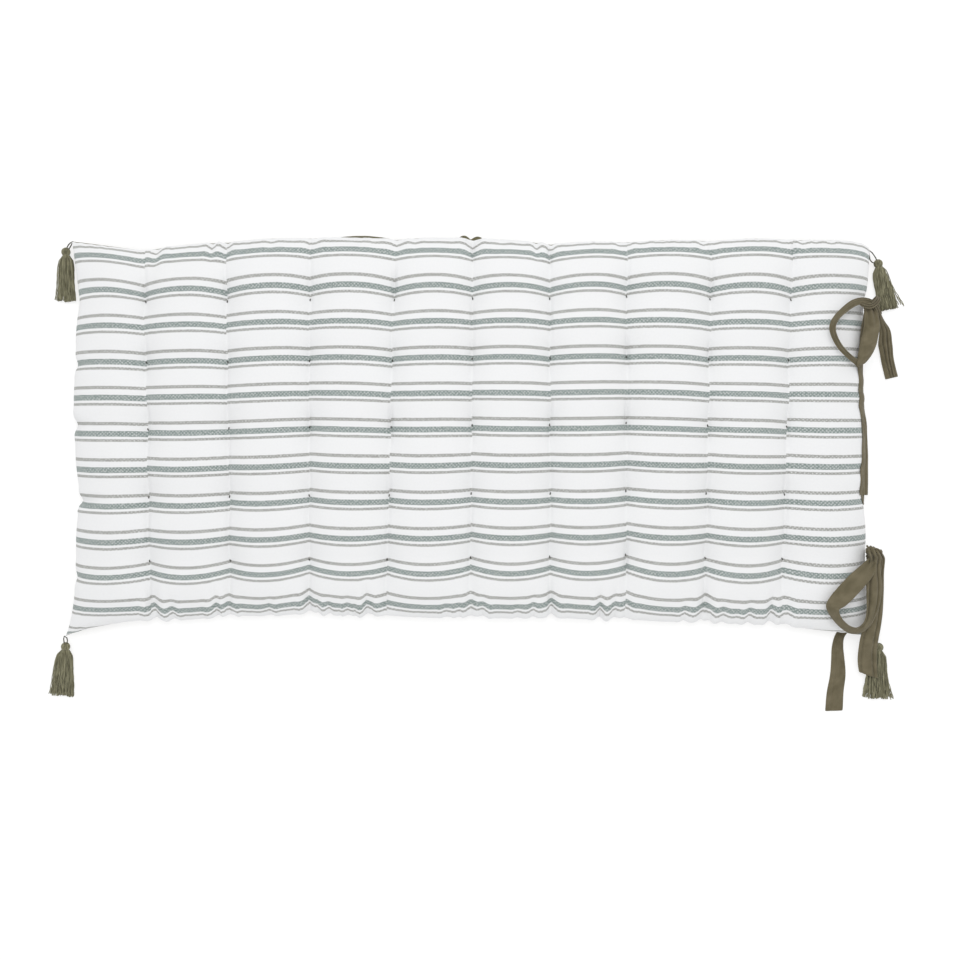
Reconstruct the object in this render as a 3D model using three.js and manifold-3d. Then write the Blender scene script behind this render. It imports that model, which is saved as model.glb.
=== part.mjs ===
// Floor mattress: a long tufted pad with a tassel at each corner and two ribbon ties at its right end.
// Millimetres, +Z up. It lies on its back on z = 0 with its length along X and its striped face up.
// The origin is on the floor, in the middle of the outline of the whole object.

import * as THREE from 'three';
import { mergeVertices } from 'three/addons/utils/BufferGeometryUtils.js';
import Module from 'manifold-3d';

// Middle of the mattress, from the middle of the whole outline with tassels and ties
const MATTRESS_X = -9.5;
const MATTRESS_Y = 70.5;

// Puffs of the mattress, between its tufts
const PUFFS_LONG = 10;
const PUFFS_WIDE = 6;
const PUFF_LENGTH = 119.5;
const PUFF_WIDTH = 97.5;
const CROWN_HEIGHT = 56;
const TUFT_HEIGHT = 20;
const COLUMN_VALLEY_SHARE = 0.6;
const ROW_VALLEY_SHARE = 0.8;

// Edge of the mattress, a seam that the front and the back roll down and up to
const SEAM_HEIGHT = 22;
const CORNER_DROP = 7;
const CORNER_DROP_POWER = 4;
const SEAM_THICKNESS = 1.6;
const TOP_ROLL = 48;
const UNDER_ROLL = 40;
const EDGE_BULGE = 3;
const CORNER_FLARE = 1.7;

// Dimple of the underside at each tuft
const DIMPLE_HEIGHT = 6;
const DIMPLE_REACH = 30;

// Columns of tufts. The back end of a column stands further along X than its front end by its lean.
const TUFT_COLUMNS = [
  { x: -484, lean: -9 },
  { x: -362, lean: -7 },
  { x: -240, lean: 3 },
  { x: -118, lean: 15 },
  { x: 4, lean: 5 },
  { x: 122, lean: 0 },
  { x: 237, lean: 3 },
  { x: 360, lean: 12 },
  { x: 479, lean: 20 },
];

// Rows of tufts, from the back
const TUFT_ROWS = [{ y: 196 }, { y: 105 }, { y: 5 }, { y: -98 }, { y: -194 }];

// Long edges, at the left end, each column of tufts and the right end
const LONG_EDGES = [
  { back: 284, front: -311 },
  { back: 270, front: -290 },
  { back: 282, front: -283 },
  { back: 288, front: -279 },
  { back: 286, front: -283 },
  { back: 288, front: -285 },
  { back: 282, front: -285 },
  { back: 282, front: -288 },
  { back: 285, front: -292 },
  { back: 287, front: -295 },
  { back: 275, front: -313 },
];

// End edges, at the back, each row of tufts and the front
const END_EDGES = [
  { left: -604, right: 607 },
  { left: -593, right: 600 },
  { left: -595, right: 586 },
  { left: -595, right: 588 },
  { left: -589, right: 592 },
  { left: -595, right: 603 },
  { left: -613, right: 601 },
];

// Sections across one puff, closer where its surface bends, and across a puff from the outer edge
const PUFF_SECTIONS = [0, 0.12, 0.35, 0.65, 0.88, 1];
const EDGE_SECTIONS = [0, 0.05, 0.17, 0.38, 0.7, 1];

// Tassels: bound head, skirt of strands and cord loop
const HEAD_RADIUS = 6.4;
const HEAD_SIDES = 10;
const HEAD_RINGS = 6;
const COLLAR_WIDTH = 12;
const COLLAR_LENGTH = 15;
const COLLAR_HEIGHT = 9.5;
const COLLAR_DISTANCE = 9;
const STRAND_RADIUS = 1.15;
const STRAND_SIDES = 3;
const STRAND_STEPS = 4;
const STRAND_UNEVEN = 3;
const STRAND_RINGS = [
  { count: 1, share: 0, start: 0 },
  { count: 6, share: 0.5, start: 0.5 },
  { count: 15, share: 1, start: 1 },
];
const LOOP_RADIUS = 0.9;
const LOOP_BELLY = 0.6;
const LOOP_SIDES = 6;
const LOOP_STEPS = 10;
const SEAT_GAP = 0.4;

// Outline of a skirt along its length: distance from the head, share of the spread, half height
const SKIRT_SECTIONS = [
  { along: 0.06, spread: 0.24, height: 3.2 },
  { along: 0.16, spread: 0.62, height: 5 },
  { along: 0.5, spread: 0.8, height: 4.8 },
  { along: 1, spread: 1, height: 4.4 },
];

// Each tassel hangs from one corner. It is turned from the straight line to the front.
const TASSELS = [
  { corner: 'back_left', column: 0, row: 0, x: -614, y: 270, turn: 0, length: 76, spread: 15, loop: 3 },
  { corner: 'front_left', column: 0, row: 6, x: -613, y: -333, turn: -5, length: 76, spread: 18, loop: 3 },
  { corner: 'back_right', column: 10, row: 0, x: 624, y: 252, turn: 13, length: 73, spread: 15, loop: 9 },
  { corner: 'front_right', column: 10, row: 6, x: 625, y: -333, turn: 1, length: 80, spread: 20, loop: 6 },
];

// Ribbon of the ties: two layers of tape, and sections along and across it
const RIBBON_THICKNESS = 1.6;
const RIBBON_STEPS = 2;
const RIBBON_SEGMENTS = 4;
const KNOT_SIDES = 12;
const KNOT_RINGS = 8;

// Each row of a run is one section of the ribbon. Its width lies at a turn from X, seen from above,
// and is tilted from the floor. A crease lifts its middle.
const BACK_LOOP = [
  { x: 600, y: 184, z: 47, width: 14, turn: 0, tilt: 0, crease: 2 },
  { x: 601, y: 158, z: 51, width: 25, turn: 0, tilt: -8, crease: 1 },
  { x: 599, y: 134, z: 53, width: 27, turn: 8, tilt: -8, crease: 1 },
  { x: 594, y: 113, z: 54, width: 25, turn: 15, tilt: -6, crease: 1 },
  { x: 589, y: 98, z: 53, width: 22, turn: 22, tilt: -6, crease: 1 },
  { x: 586, y: 94, z: 50, width: 19, turn: 30, tilt: -4, crease: 0 },
  { x: 579, y: 99, z: 51, width: 14, turn: 45, tilt: 20, crease: 1 },
  { x: 567, y: 105, z: 57, width: 14, turn: 48, tilt: 50, crease: 1 },
  { x: 552, y: 118, z: 62, width: 14, turn: 38, tilt: 53, crease: 1 },
  { x: 542, y: 133, z: 66, width: 14, turn: 18, tilt: 54, crease: 1 },
  { x: 538, y: 148, z: 67, width: 14, turn: -6, tilt: 50, crease: 1 },
  { x: 544, y: 162, z: 66, width: 14, turn: -36, tilt: 53, crease: 1 },
  { x: 560, y: 178, z: 61, width: 14, turn: -58, tilt: 44, crease: 1 },
  { x: 579, y: 188, z: 52, width: 14, turn: -74, tilt: 36, crease: 1 },
  { x: 597, y: 190, z: 46, width: 12, turn: -86, tilt: 20, crease: 1 },
];
const BACK_LONG_END = [
  { x: 603, y: 180, z: 41, width: 12, turn: 0, tilt: -40, crease: 0 },
  { x: 603, y: 148, z: 38, width: 14, turn: 0, tilt: -50, crease: 0 },
  { x: 595, y: 118, z: 35, width: 16, turn: 0, tilt: -54, crease: 0 },
  { x: 590, y: 91, z: 33, width: 18, turn: 0, tilt: -56, crease: 0 },
  { x: 590, y: 50, z: 35, width: 18, turn: 0, tilt: -58, crease: 0 },
  { x: 595, y: 28, z: 31, width: 17, turn: 0, tilt: -64, crease: 0 },
  { x: 599, y: 5, z: 27, width: 17, turn: 0, tilt: -68, crease: 0 },
  { x: 599, y: -17, z: 28, width: 18, turn: 0, tilt: -64, crease: 0 },
  { x: 597, y: -40, z: 31, width: 19, turn: 0, tilt: -58, crease: 0 },
  { x: 596, y: -70, z: 33, width: 20, turn: 0, tilt: -55, crease: 0 },
  { x: 597, y: -105, z: 31, width: 21, turn: 0, tilt: -54, crease: 0 },
];
const BACK_ROOT = [
  { x: 603, y: 186, z: 42, width: 12, turn: 90, tilt: 0, crease: 0 },
  { x: 603, y: 186, z: 32, width: 14, turn: 90, tilt: 0, crease: 0 },
  { x: 601.2, y: 186, z: 22, width: 16, turn: 90, tilt: 0, crease: 0 },
];
const BACK_SHORT_END = [
  { x: 604, y: 184, z: 44, width: 10, turn: 30, tilt: -10, crease: 1 },
  { x: 618, y: 171, z: 32, width: 12, turn: 30, tilt: -20, crease: 3 },
  { x: 630, y: 150, z: 16, width: 17, turn: 25, tilt: -12, crease: 4 },
  { x: 638, y: 128, z: 6, width: 19, turn: 18, tilt: 0, crease: 4 },
  { x: 643, y: 106, z: 2.2, width: 19, turn: 12, tilt: 0, crease: 3 },
  { x: 648, y: 78, z: 1.4, width: 19, turn: 10, tilt: 0, crease: 2 },
];
const FRONT_LOOP = [
  { x: 606, y: -192, z: 48, width: 13, turn: -40, tilt: 6, crease: 2 },
  { x: 591, y: -209, z: 50, width: 22, turn: -40, tilt: 10, crease: 1 },
  { x: 573, y: -227, z: 56, width: 26, turn: -40, tilt: 10, crease: 1 },
  { x: 553, y: -248, z: 61, width: 26, turn: -34, tilt: 16, crease: 1 },
  { x: 541, y: -263, z: 63, width: 21, turn: -10, tilt: 34, crease: 1 },
  { x: 543, y: -277, z: 61, width: 17, turn: 26, tilt: 46, crease: 1 },
  { x: 555, y: -292, z: 54, width: 15, turn: 50, tilt: 46, crease: 1 },
  { x: 568, y: -301, z: 46, width: 14, turn: 72, tilt: 40, crease: 1 },
  { x: 582, y: -304, z: 41, width: 14, turn: 98, tilt: 38, crease: 1 },
  { x: 594, y: -298, z: 40, width: 15, turn: 126, tilt: 34, crease: 1 },
  { x: 603, y: -287, z: 41, width: 17, turn: 146, tilt: 30, crease: 1 },
  { x: 609, y: -271, z: 43, width: 19, turn: 162, tilt: 26, crease: 1 },
  { x: 611, y: -254, z: 45, width: 21, turn: 174, tilt: 20, crease: 2 },
  { x: 611, y: -234, z: 47, width: 22, turn: 180, tilt: 12, crease: 2 },
  { x: 610, y: -216, z: 48, width: 18, turn: 182, tilt: 6, crease: 2 },
  { x: 608, y: -196, z: 47, width: 13, turn: 184, tilt: 4, crease: 2 },
];
const FRONT_RIGHT_END = [
  { x: 614, y: -190, z: 44, width: 13, turn: 0, tilt: -20, crease: 2 },
  { x: 616, y: -216, z: 37, width: 20, turn: 0, tilt: -24, crease: 2 },
  { x: 616, y: -246, z: 33, width: 24, turn: 0, tilt: -20, crease: 1 },
  { x: 613, y: -276, z: 30, width: 26, turn: -6, tilt: -12, crease: 1 },
  { x: 609, y: -301, z: 27, width: 26, turn: -8, tilt: -6, crease: 1 },
  { x: 606, y: -320, z: 23, width: 26, turn: -4, tilt: 0, crease: 1 },
  { x: 606, y: -340, z: 17, width: 26, turn: 0, tilt: 0, crease: 1 },
  { x: 606, y: -358, z: 14.5, width: 26, turn: 0, tilt: 0, crease: 1 },
  { x: 607, y: -377, z: 13.5, width: 26, turn: -8, tilt: 0, crease: 1 },
];
const FRONT_LEFT_END = [
  { x: 613, y: -195, z: 40, width: 9, turn: 0, tilt: 0, crease: 0 },
  { x: 615, y: -208, z: 24, width: 9, turn: 0, tilt: 0, crease: 0 },
  { x: 612, y: -224, z: 9, width: 9, turn: -10, tilt: 0, crease: 0 },
  { x: 604, y: -246, z: 2.4, width: 10, turn: -18, tilt: 0, crease: 0 },
  { x: 597, y: -270, z: 1.4, width: 12, turn: -25, tilt: 0, crease: 0 },
  { x: 587, y: -292, z: 1.4, width: 14, turn: -38, tilt: 0, crease: 0 },
  { x: 573, y: -312, z: 1.4, width: 15, turn: -32, tilt: 0, crease: 0 },
  { x: 565, y: -331, z: 1.4, width: 17, turn: -12, tilt: 0, crease: 0.6 },
  { x: 564, y: -353, z: 1.4, width: 19, turn: 0, tilt: 0, crease: 0.6 },
  { x: 563, y: -376, z: 1.4, width: 22, turn: 2, tilt: 0, crease: 0.6 },
  { x: 560, y: -402, z: 1.4, width: 26, turn: 4, tilt: 0, crease: 0.6 },
  { x: 558, y: -431, z: 1.4, width: 27, turn: 2, tilt: 0, crease: 0.6 },
];
const FRONT_ROOT = [
  { x: 609, y: -190, z: 42, width: 12, turn: 90, tilt: 0, crease: 0 },
  { x: 606, y: -190, z: 32, width: 14, turn: 90, tilt: 0, crease: 0 },
  { x: 604.2, y: -190, z: 22, width: 16, turn: 90, tilt: 0, crease: 0 },
];

// Each tie is one knot with the runs of ribbon that come out of it
const TIES = [
  {
    name: 'tie_back',
    knot: { x: 601, y: 187, z: 46, width: 18, length: 18, height: 15, turn: 20 },
    runs: [BACK_LOOP, BACK_LONG_END, BACK_SHORT_END, BACK_ROOT],
  },
  {
    name: 'tie_front',
    knot: { x: 609, y: -189, z: 46, width: 26, length: 20, height: 17, turn: -20 },
    runs: [FRONT_LOOP, FRONT_RIGHT_END, FRONT_LEFT_END, FRONT_ROOT],
  },
];

const CLOTH = new THREE.MeshStandardMaterial({ color: '#e4e7e5', roughness: 0.9, metalness: 0 });
const YARN = new THREE.MeshStandardMaterial({ color: '#75735d', roughness: 0.95, metalness: 0 });
const TAPE = new THREE.MeshStandardMaterial({ color: '#736b56', roughness: 0.9, metalness: 0 });

const { lerp, degToRad } = THREE.MathUtils;
const wasm = await Module();
wasm.setup();

// Moves each vertex of a closed geometry to its place, and welds the vertices that meet
function reshape(geometry, place) {
  const form = geometry.clone();
  form.deleteAttribute('normal');
  form.deleteAttribute('uv');
  const positions = form.attributes.position;
  const point = new THREE.Vector3();
  for (let index = 0; index < positions.count; index += 1) {
    point.fromBufferAttribute(positions, index);
    positions.setXYZ(index, ...place(point).toArray());
  }
  return mergeVertices(form);
}

function toSolid(geometry) {
  const welded = reshape(geometry, (point) => point);
  return new wasm.Manifold(new wasm.Mesh({
    numProp: 3,
    vertProperties: new Float32Array(welded.attributes.position.array),
    triVerts: new Uint32Array(welded.index.array),
  }));
}

// Joins closed geometries that overlap into one
function fuse(geometries) {
  const [first, ...others] = geometries.map(toSolid);
  const mesh = others.reduce((whole, solid) => whole.add(solid), first).getMesh();
  const form = new THREE.BufferGeometry();
  form.setAttribute('position', new THREE.BufferAttribute(mesh.vertProperties, 3));
  form.setIndex(new THREE.BufferAttribute(mesh.triVerts, 1));
  return form;
}

function makeMesh(name, geometry, material) {
  geometry.computeVertexNormals();
  const mesh = new THREE.Mesh(geometry, material);
  mesh.name = name;
  return mesh;
}

// A column position runs from 0 at the left end to PUFFS_LONG at the right end, and a row position
// from 0 at the back to PUFFS_WIDE at the front. Both are whole numbers on the lines of tufts.

// Where an edge lies at a position along it: bulged out between two lines, flared at the corners
function edgeAt(edges, side, position) {
  const last = edges.length - 2;
  const span = Math.min(Math.floor(position), last);
  const share = position - span;
  const start = edges[span][side];
  const end = edges[span + 1][side];
  if (span === 0) return lerp(end, start, (1 - share) ** CORNER_FLARE);
  if (span === last) return lerp(start, end, share ** CORNER_FLARE);
  return lerp(start, end, share) + Math.sign(start) * EDGE_BULGE * Math.sin(Math.PI * share);
}

function columnLineX(line, row) {
  if (line === 0) return edgeAt(END_EDGES, 'left', row);
  if (line === PUFFS_LONG) return edgeAt(END_EDGES, 'right', row);
  const { x, lean } = TUFT_COLUMNS[line - 1];
  return x + lean * (0.5 - row / PUFFS_WIDE);
}

function rowLineY(line, column) {
  if (line === 0) return edgeAt(LONG_EDGES, 'back', column);
  if (line === PUFFS_WIDE) return edgeAt(LONG_EDGES, 'front', column);
  return TUFT_ROWS[line - 1].y;
}

function planX(column, row) {
  const line = Math.min(Math.floor(column), PUFFS_LONG - 1);
  return lerp(columnLineX(line, row), columnLineX(line + 1, row), column - line);
}

function planY(column, row) {
  const line = Math.min(Math.floor(row), PUFFS_WIDE - 1);
  return lerp(rowLineY(line, column), rowLineY(line + 1, column), row - line);
}

// Position across one puff, held at its crest in the outer half of a puff at the edge
function puffShare(position, puffs) {
  const puff = Math.min(Math.floor(position), puffs - 1);
  const share = position - puff;
  if (puff === 0) return Math.max(share, 0.5);
  if (puff === puffs - 1) return Math.min(share, 0.5);
  return share;
}

// Rise of the top from the tufts, 0, to the crowns, 1. A column is a sharp crease, a row a soft valley.
function puffRise(column, row) {
  const arch = 1 - (2 * puffShare(column, PUFFS_LONG) - 1) ** 2;
  const swell = Math.sin(Math.PI * puffShare(row, PUFFS_WIDE)) ** 2;
  const alongRow = ROW_VALLEY_SHARE * arch * (1 - swell);
  const alongColumn = COLUMN_VALLEY_SHARE * swell * (1 - arch);
  return alongRow + alongColumn + arch * swell;
}

// Quarter round from 0 at the outer edge to 1 at its reach and further in
function edgeRound(distance, reach) {
  return Math.sqrt(1 - (1 - Math.min(distance / reach, 1)) ** 2);
}

function edgeRoll(column, row, reach) {
  const fromEnd = Math.min(column, PUFFS_LONG - column) * PUFF_LENGTH;
  const fromLongEdge = Math.min(row, PUFFS_WIDE - row) * PUFF_WIDTH;
  return edgeRound(fromEnd, reach) * edgeRound(fromLongEdge, reach);
}

// Height of the seam, lower towards the corners
function seamHeight(column, row) {
  const endward = Math.abs(2 * column / PUFFS_LONG - 1);
  const edgeward = Math.abs(2 * row / PUFFS_WIDE - 1);
  return SEAM_HEIGHT - CORNER_DROP * (endward * edgeward) ** CORNER_DROP_POWER;
}

function topHeight(column, row) {
  const seam = seamHeight(column, row) + SEAM_THICKNESS / 2;
  const body = lerp(TUFT_HEIGHT, CROWN_HEIGHT, puffRise(column, row));
  return lerp(seam, body, edgeRoll(column, row, TOP_ROLL));
}

function tuftNearness(column, row) {
  const tuftColumn = THREE.MathUtils.clamp(Math.round(column), 1, PUFFS_LONG - 1);
  const tuftRow = THREE.MathUtils.clamp(Math.round(row), 1, PUFFS_WIDE - 1);
  const distance = Math.hypot((column - tuftColumn) * PUFF_LENGTH, (row - tuftRow) * PUFF_WIDTH);
  return Math.max(0, 1 - distance / DIMPLE_REACH) ** 2;
}

function undersideHeight(column, row) {
  const seam = seamHeight(column, row) - SEAM_THICKNESS / 2;
  const lift = lerp(seam, 0, edgeRoll(column, row, UNDER_ROLL));
  return Math.max(lift, DIMPLE_HEIGHT * tuftNearness(column, row));
}

// Turns an even position along the grid into one on the sections of its puff
function sectionPosition(position, puffs) {
  const steps = PUFF_SECTIONS.length - 1;
  const count = Math.round(position * steps);
  const puff = Math.min(Math.floor(count / steps), puffs - 1);
  const step = count - puff * steps;
  if (puff === 0) return EDGE_SECTIONS[step];
  if (puff === puffs - 1) return puffs - EDGE_SECTIONS[steps - step];
  return puff + PUFF_SECTIONS[step];
}

// The filled mattress is a flat box of two grids, joined by the narrow band of its seam
function makeMattress() {
  const steps = PUFF_SECTIONS.length - 1;
  const grid = new THREE.BoxGeometry(PUFFS_LONG, PUFFS_WIDE, 2, PUFFS_LONG * steps, PUFFS_WIDE * steps, 1);
  return reshape(grid, (point) => {
    const column = sectionPosition(PUFFS_LONG / 2 + point.x, PUFFS_LONG);
    const row = sectionPosition(PUFFS_WIDE / 2 - point.y, PUFFS_WIDE);
    const height = point.z > 0 ? topHeight(column, row) : undersideHeight(column, row);
    return new THREE.Vector3(planX(column, row), planY(column, row), height);
  });
}

function polygon(radius, sides) {
  const outline = new THREE.Shape();
  for (let side = 0; side < sides; side += 1) {
    const angle = 2 * Math.PI * side / sides;
    const point = [radius * Math.cos(angle), radius * Math.sin(angle)];
    if (side === 0) outline.moveTo(...point);
    else outline.lineTo(...point);
  }
  outline.closePath();
  return outline;
}

function tube(points, radius, sides, steps) {
  const extrudePath = new THREE.CatmullRomCurve3(points);
  return new THREE.ExtrudeGeometry(polygon(radius, sides), { steps, bevelEnabled: false, extrudePath });
}

// One strand of a skirt, at an angle and a share of the way out from the middle of the skirt.
// It rests on the floor, a head's radius under the middle of the head.
function makeStrand(tassel, angle, share, reach) {
  const points = SKIRT_SECTIONS.map(({ along, spread, height }) => new THREE.Vector3(
    share * tassel.spread * spread * Math.cos(angle),
    -along * reach,
    STRAND_RADIUS + height * (1 + share * Math.sin(angle)) - HEAD_RADIUS,
  ));
  return tube(points, STRAND_RADIUS, STRAND_SIDES, STRAND_STEPS);
}

// A ring of strands of uneven length
function makeStrandRing(tassel, { count, share, start }) {
  return Array.from({ length: count }, (_, number) => {
    const angle = 2 * Math.PI * (start + number) / count;
    const reach = tassel.length - STRAND_UNEVEN * Math.sin(number * number) ** 2;
    return makeStrand(tassel, angle, share, reach);
  });
}

// The loop runs from the head to the corner of the mattress and back
function makeLoop(tassel) {
  const head = new THREE.Vector3(tassel.x, tassel.y, HEAD_RADIUS);
  const corner = new THREE.Vector3(
    planX(tassel.column, tassel.row),
    planY(tassel.column, tassel.row),
    seamHeight(tassel.column, tassel.row),
  );
  const way = corner.clone().sub(head);
  const turnPoint = corner.clone().addScaledVector(way.clone().normalize(), -LOOP_RADIUS - SEAT_GAP);
  const aside = new THREE.Vector3(-way.y, way.x, 0).setLength(tassel.loop / 2);
  const middle = head.clone().lerp(corner, LOOP_BELLY);
  const points = [head, middle.clone().add(aside), turnPoint, middle.clone().sub(aside), head];
  return tube(points, LOOP_RADIUS, LOOP_SIDES, LOOP_STEPS);
}

function makeTassel(tassel) {
  const head = new THREE.SphereGeometry(HEAD_RADIUS, HEAD_SIDES, HEAD_RINGS);
  const collar = new THREE.SphereGeometry(0.5, HEAD_SIDES, HEAD_RINGS);
  collar.scale(COLLAR_WIDTH, COLLAR_LENGTH, COLLAR_HEIGHT);
  collar.translate(0, -COLLAR_DISTANCE, COLLAR_HEIGHT / 2 - HEAD_RADIUS + STRAND_RADIUS);
  const hanging = [head, collar, ...STRAND_RINGS.flatMap((ring) => makeStrandRing(tassel, ring))];
  hanging.forEach((form) => {
    form.rotateZ(degToRad(tassel.turn));
    form.translate(tassel.x, tassel.y, HEAD_RADIUS);
  });
  return fuse([...hanging, makeLoop(tassel)]);
}

// A run of ribbon: a flat strip of box sections laid through its rows
function makeRun(rows) {
  const spans = rows.length - 1;
  const path = new THREE.CatmullRomCurve3(rows.map(({ x, y, z }) => new THREE.Vector3(x, y, z)));
  const strip = new THREE.BoxGeometry(1, 1, RIBBON_THICKNESS, RIBBON_SEGMENTS, spans * RIBBON_STEPS, 1);
  return reshape(strip, (point) => {
    const share = 0.5 - point.y;
    const span = Math.min(Math.floor(share * spans), spans - 1);
    const between = (column) => lerp(rows[span][column], rows[span + 1][column], share * spans - span);
    const turn = degToRad(between('turn'));
    const tilt = degToRad(between('tilt'));
    const level = Math.cos(tilt);
    const across = new THREE.Vector3(level * Math.cos(turn), level * Math.sin(turn), Math.sin(tilt));
    const proud = new THREE.Vector3().crossVectors(path.getTangent(share), across).normalize();
    const lift = point.z + between('crease') * (1 - 4 * point.x ** 2);
    return path.getPoint(share)
      .addScaledVector(across, point.x * between('width'))
      .addScaledVector(proud, lift);
  });
}

function makeKnot({ x, y, z, width, length, height, turn }) {
  const lump = new THREE.SphereGeometry(0.5, KNOT_SIDES, KNOT_RINGS);
  lump.scale(width, length, height);
  lump.rotateZ(degToRad(turn));
  lump.translate(x, y, z);
  return lump;
}

const pieces = new THREE.Group();
pieces.add(makeMesh('mattress', makeMattress(), CLOTH));
TASSELS.forEach((tassel) => {
  pieces.add(makeMesh(`tassel_${tassel.corner}`, makeTassel(tassel), YARN));
});
TIES.forEach(({ name, knot, runs }) => {
  const form = fuse([makeKnot(knot), ...runs.map(makeRun)]);
  pieces.add(makeMesh(name, form, TAPE));
});
pieces.position.set(MATTRESS_X, MATTRESS_Y, 0);

const floorMattress = new THREE.Group();
floorMattress.add(pieces);

export default floorMattress;
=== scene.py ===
# %% [markdown]
# # A tufted floor mattress
#
# The real thing is a thin filled mattress of striped cotton. It has an olive back, stitched tufts, a yarn
# tassel at each corner and two tape ties at one end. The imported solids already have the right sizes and
# places, so this lesson dresses them: each soft piece is made again with its folds, threads and weave.

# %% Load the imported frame
import math
import random

import bmesh
import bpy
from mathutils import Matrix, Vector, noise


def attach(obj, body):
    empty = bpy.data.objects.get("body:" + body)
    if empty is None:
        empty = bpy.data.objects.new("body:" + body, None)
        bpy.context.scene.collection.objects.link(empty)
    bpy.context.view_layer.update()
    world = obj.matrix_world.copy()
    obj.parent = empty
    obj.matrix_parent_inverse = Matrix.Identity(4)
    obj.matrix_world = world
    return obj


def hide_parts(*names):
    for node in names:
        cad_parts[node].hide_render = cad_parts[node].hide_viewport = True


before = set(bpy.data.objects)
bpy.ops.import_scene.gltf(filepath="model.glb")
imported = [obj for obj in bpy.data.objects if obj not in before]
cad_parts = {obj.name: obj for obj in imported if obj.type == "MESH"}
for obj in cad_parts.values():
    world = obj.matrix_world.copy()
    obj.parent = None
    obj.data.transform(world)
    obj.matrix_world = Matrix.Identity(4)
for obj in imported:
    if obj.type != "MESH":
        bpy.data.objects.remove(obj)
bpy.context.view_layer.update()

# %% [markdown]
# ## Camera, floor and light
#
# The photograph looks straight down, with the mattress lying flat. A camera needs no turning for that:
# Blender's camera already looks along -Z with +Y upwards. The picture has no shadows to speak of, so the
# light is a white dome with one wide soft lamp, and the pale floor glows a little, as a light table does.
# The Standard view keeps white cloth white.

# %% Camera
scene = bpy.context.scene
camera = bpy.data.objects.new("camera", bpy.data.cameras.new("camera"))
camera.location = (0.0071, -0.0073, 2.0)
camera.data.sensor_width = 36
camera.data.lens = 49.0
scene.collection.objects.link(camera)
scene.camera = camera
scene.view_settings.view_transform = "Standard"
print("Camera height", camera.location.z, "m, lens", camera.data.lens, "mm")


# %% Helpers for material nodes
def node(tree, kind, inputs=(), **settings):
    """A node with its settings, and its inputs linked or set."""
    made = tree.nodes.new(kind)
    for name, value in settings.items():
        setattr(made, name, value)
    for socket, value in inputs:
        if isinstance(value, bpy.types.NodeSocket):
            tree.links.new(value, made.inputs[socket])
        else:
            made.inputs[socket].default_value = value
    return made


def maths(tree, operation, *values):
    return node(tree, "ShaderNodeMath", enumerate(values), operation=operation).outputs[0]


def blend_colours(tree, share, first, second):
    mix = node(tree, "ShaderNodeMix", data_type="RGBA")
    for socket, value in zip((mix.inputs[0], mix.inputs[6], mix.inputs[7]), (share, first, second)):
        if isinstance(value, bpy.types.NodeSocket):
            tree.links.new(value, socket)
        else:
            socket.default_value = value
    return mix.outputs[2]


def new_material(name, roughness, sheen=0.0):
    material = bpy.data.materials.new(name)
    material.use_nodes = True
    shader = material.node_tree.nodes["Principled BSDF"]
    shader.inputs["Roughness"].default_value = roughness
    shader.inputs["Specular IOR Level"].default_value = 0.2
    shader.inputs["Sheen Weight"].default_value = sheen
    return material, material.node_tree, shader


print("Helpers:", *(helper.__name__ for helper in (node, maths, blend_colours, new_material)))


# %% Floor and light
def new_piece(name, bm, materials):
    """Turns a bmesh into an object that sits at the origin."""
    mesh = bpy.data.meshes.new(name)
    bm.to_mesh(mesh)
    bm.free()
    for material in materials:
        mesh.materials.append(material)
    piece = bpy.data.objects.new(name, mesh)
    scene.collection.objects.link(piece)
    return piece


FLOOR_SIZE, FLOOR_DROP = 40, 0.0004

floor_paint, tree, shader = new_material("floor_paint", 0.8)
shader.inputs["Base Color"].default_value = (0.4, 0.4, 0.4, 1)
shader.inputs["Emission Color"].default_value = (1, 1, 1, 1)
shader.inputs["Emission Strength"].default_value = 0.66
floor_mesh = bmesh.new()
bmesh.ops.create_grid(floor_mesh, x_segments=1, y_segments=1, size=FLOOR_SIZE)
bmesh.ops.translate(floor_mesh, vec=(0, 0, -FLOOR_DROP), verts=floor_mesh.verts[:])
floor = new_piece("floor", floor_mesh, [floor_paint])

world = bpy.data.worlds.new("studio")
world.use_nodes = True
world.node_tree.nodes["Background"].inputs["Color"].default_value = (1, 1, 1, 1)
world.node_tree.nodes["Background"].inputs["Strength"].default_value = 0.86
scene.world = world

lamp = bpy.data.objects.new("softbox", bpy.data.lights.new("softbox", "AREA"))
lamp.data.size = 1.2
lamp.data.energy = 20
lamp.location = (0.1, 0.9, 2.5)
lamp.rotation_euler = (-lamp.location).to_track_quat("-Z", "Y").to_euler()
scene.collection.objects.link(lamp)
print("Floor, dome and", lamp.name, "are set")

# %% [markdown]
# ## Striped cotton and olive cotton
#
# The front is a plain ticking stripe: a grey-green band with a thin grey line on each side, woven, not
# printed. A stripe has to follow the cloth over every puff, so it reads the cloth's own UV map, which
# holds the place of each point on the flat panel, in metres. Stripes on world axes would run straight
# through the folds. The woven bands are not solid: coloured and white threads cross in a fine twill.

# %% Woven cloth nodes
MM = 0.001
WEAVE_PITCH = 1.5
SLUB_SHARE, BUMP_HEIGHT = 0.8, 0.0004


def cloth_coordinates(tree):
    """A piece's flat cloth as a vector in metres, and its two coordinates in millimetres."""
    flat = node(tree, "ShaderNodeUVMap", uv_map="cloth").outputs[0]
    parts = node(tree, "ShaderNodeSeparateXYZ", [(0, flat)])
    along = maths(tree, "MULTIPLY", parts.outputs[0], 1 / MM)
    across = maths(tree, "MULTIPLY", parts.outputs[1], 1 / MM)
    return flat, along, across


def speckle(tree, place, scale, detail):
    """Soft noise from 0 to 1."""
    inputs = [("Vector", place), ("Scale", scale), ("Detail", detail)]
    return node(tree, "ShaderNodeTexNoise", inputs).outputs[0]


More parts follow.
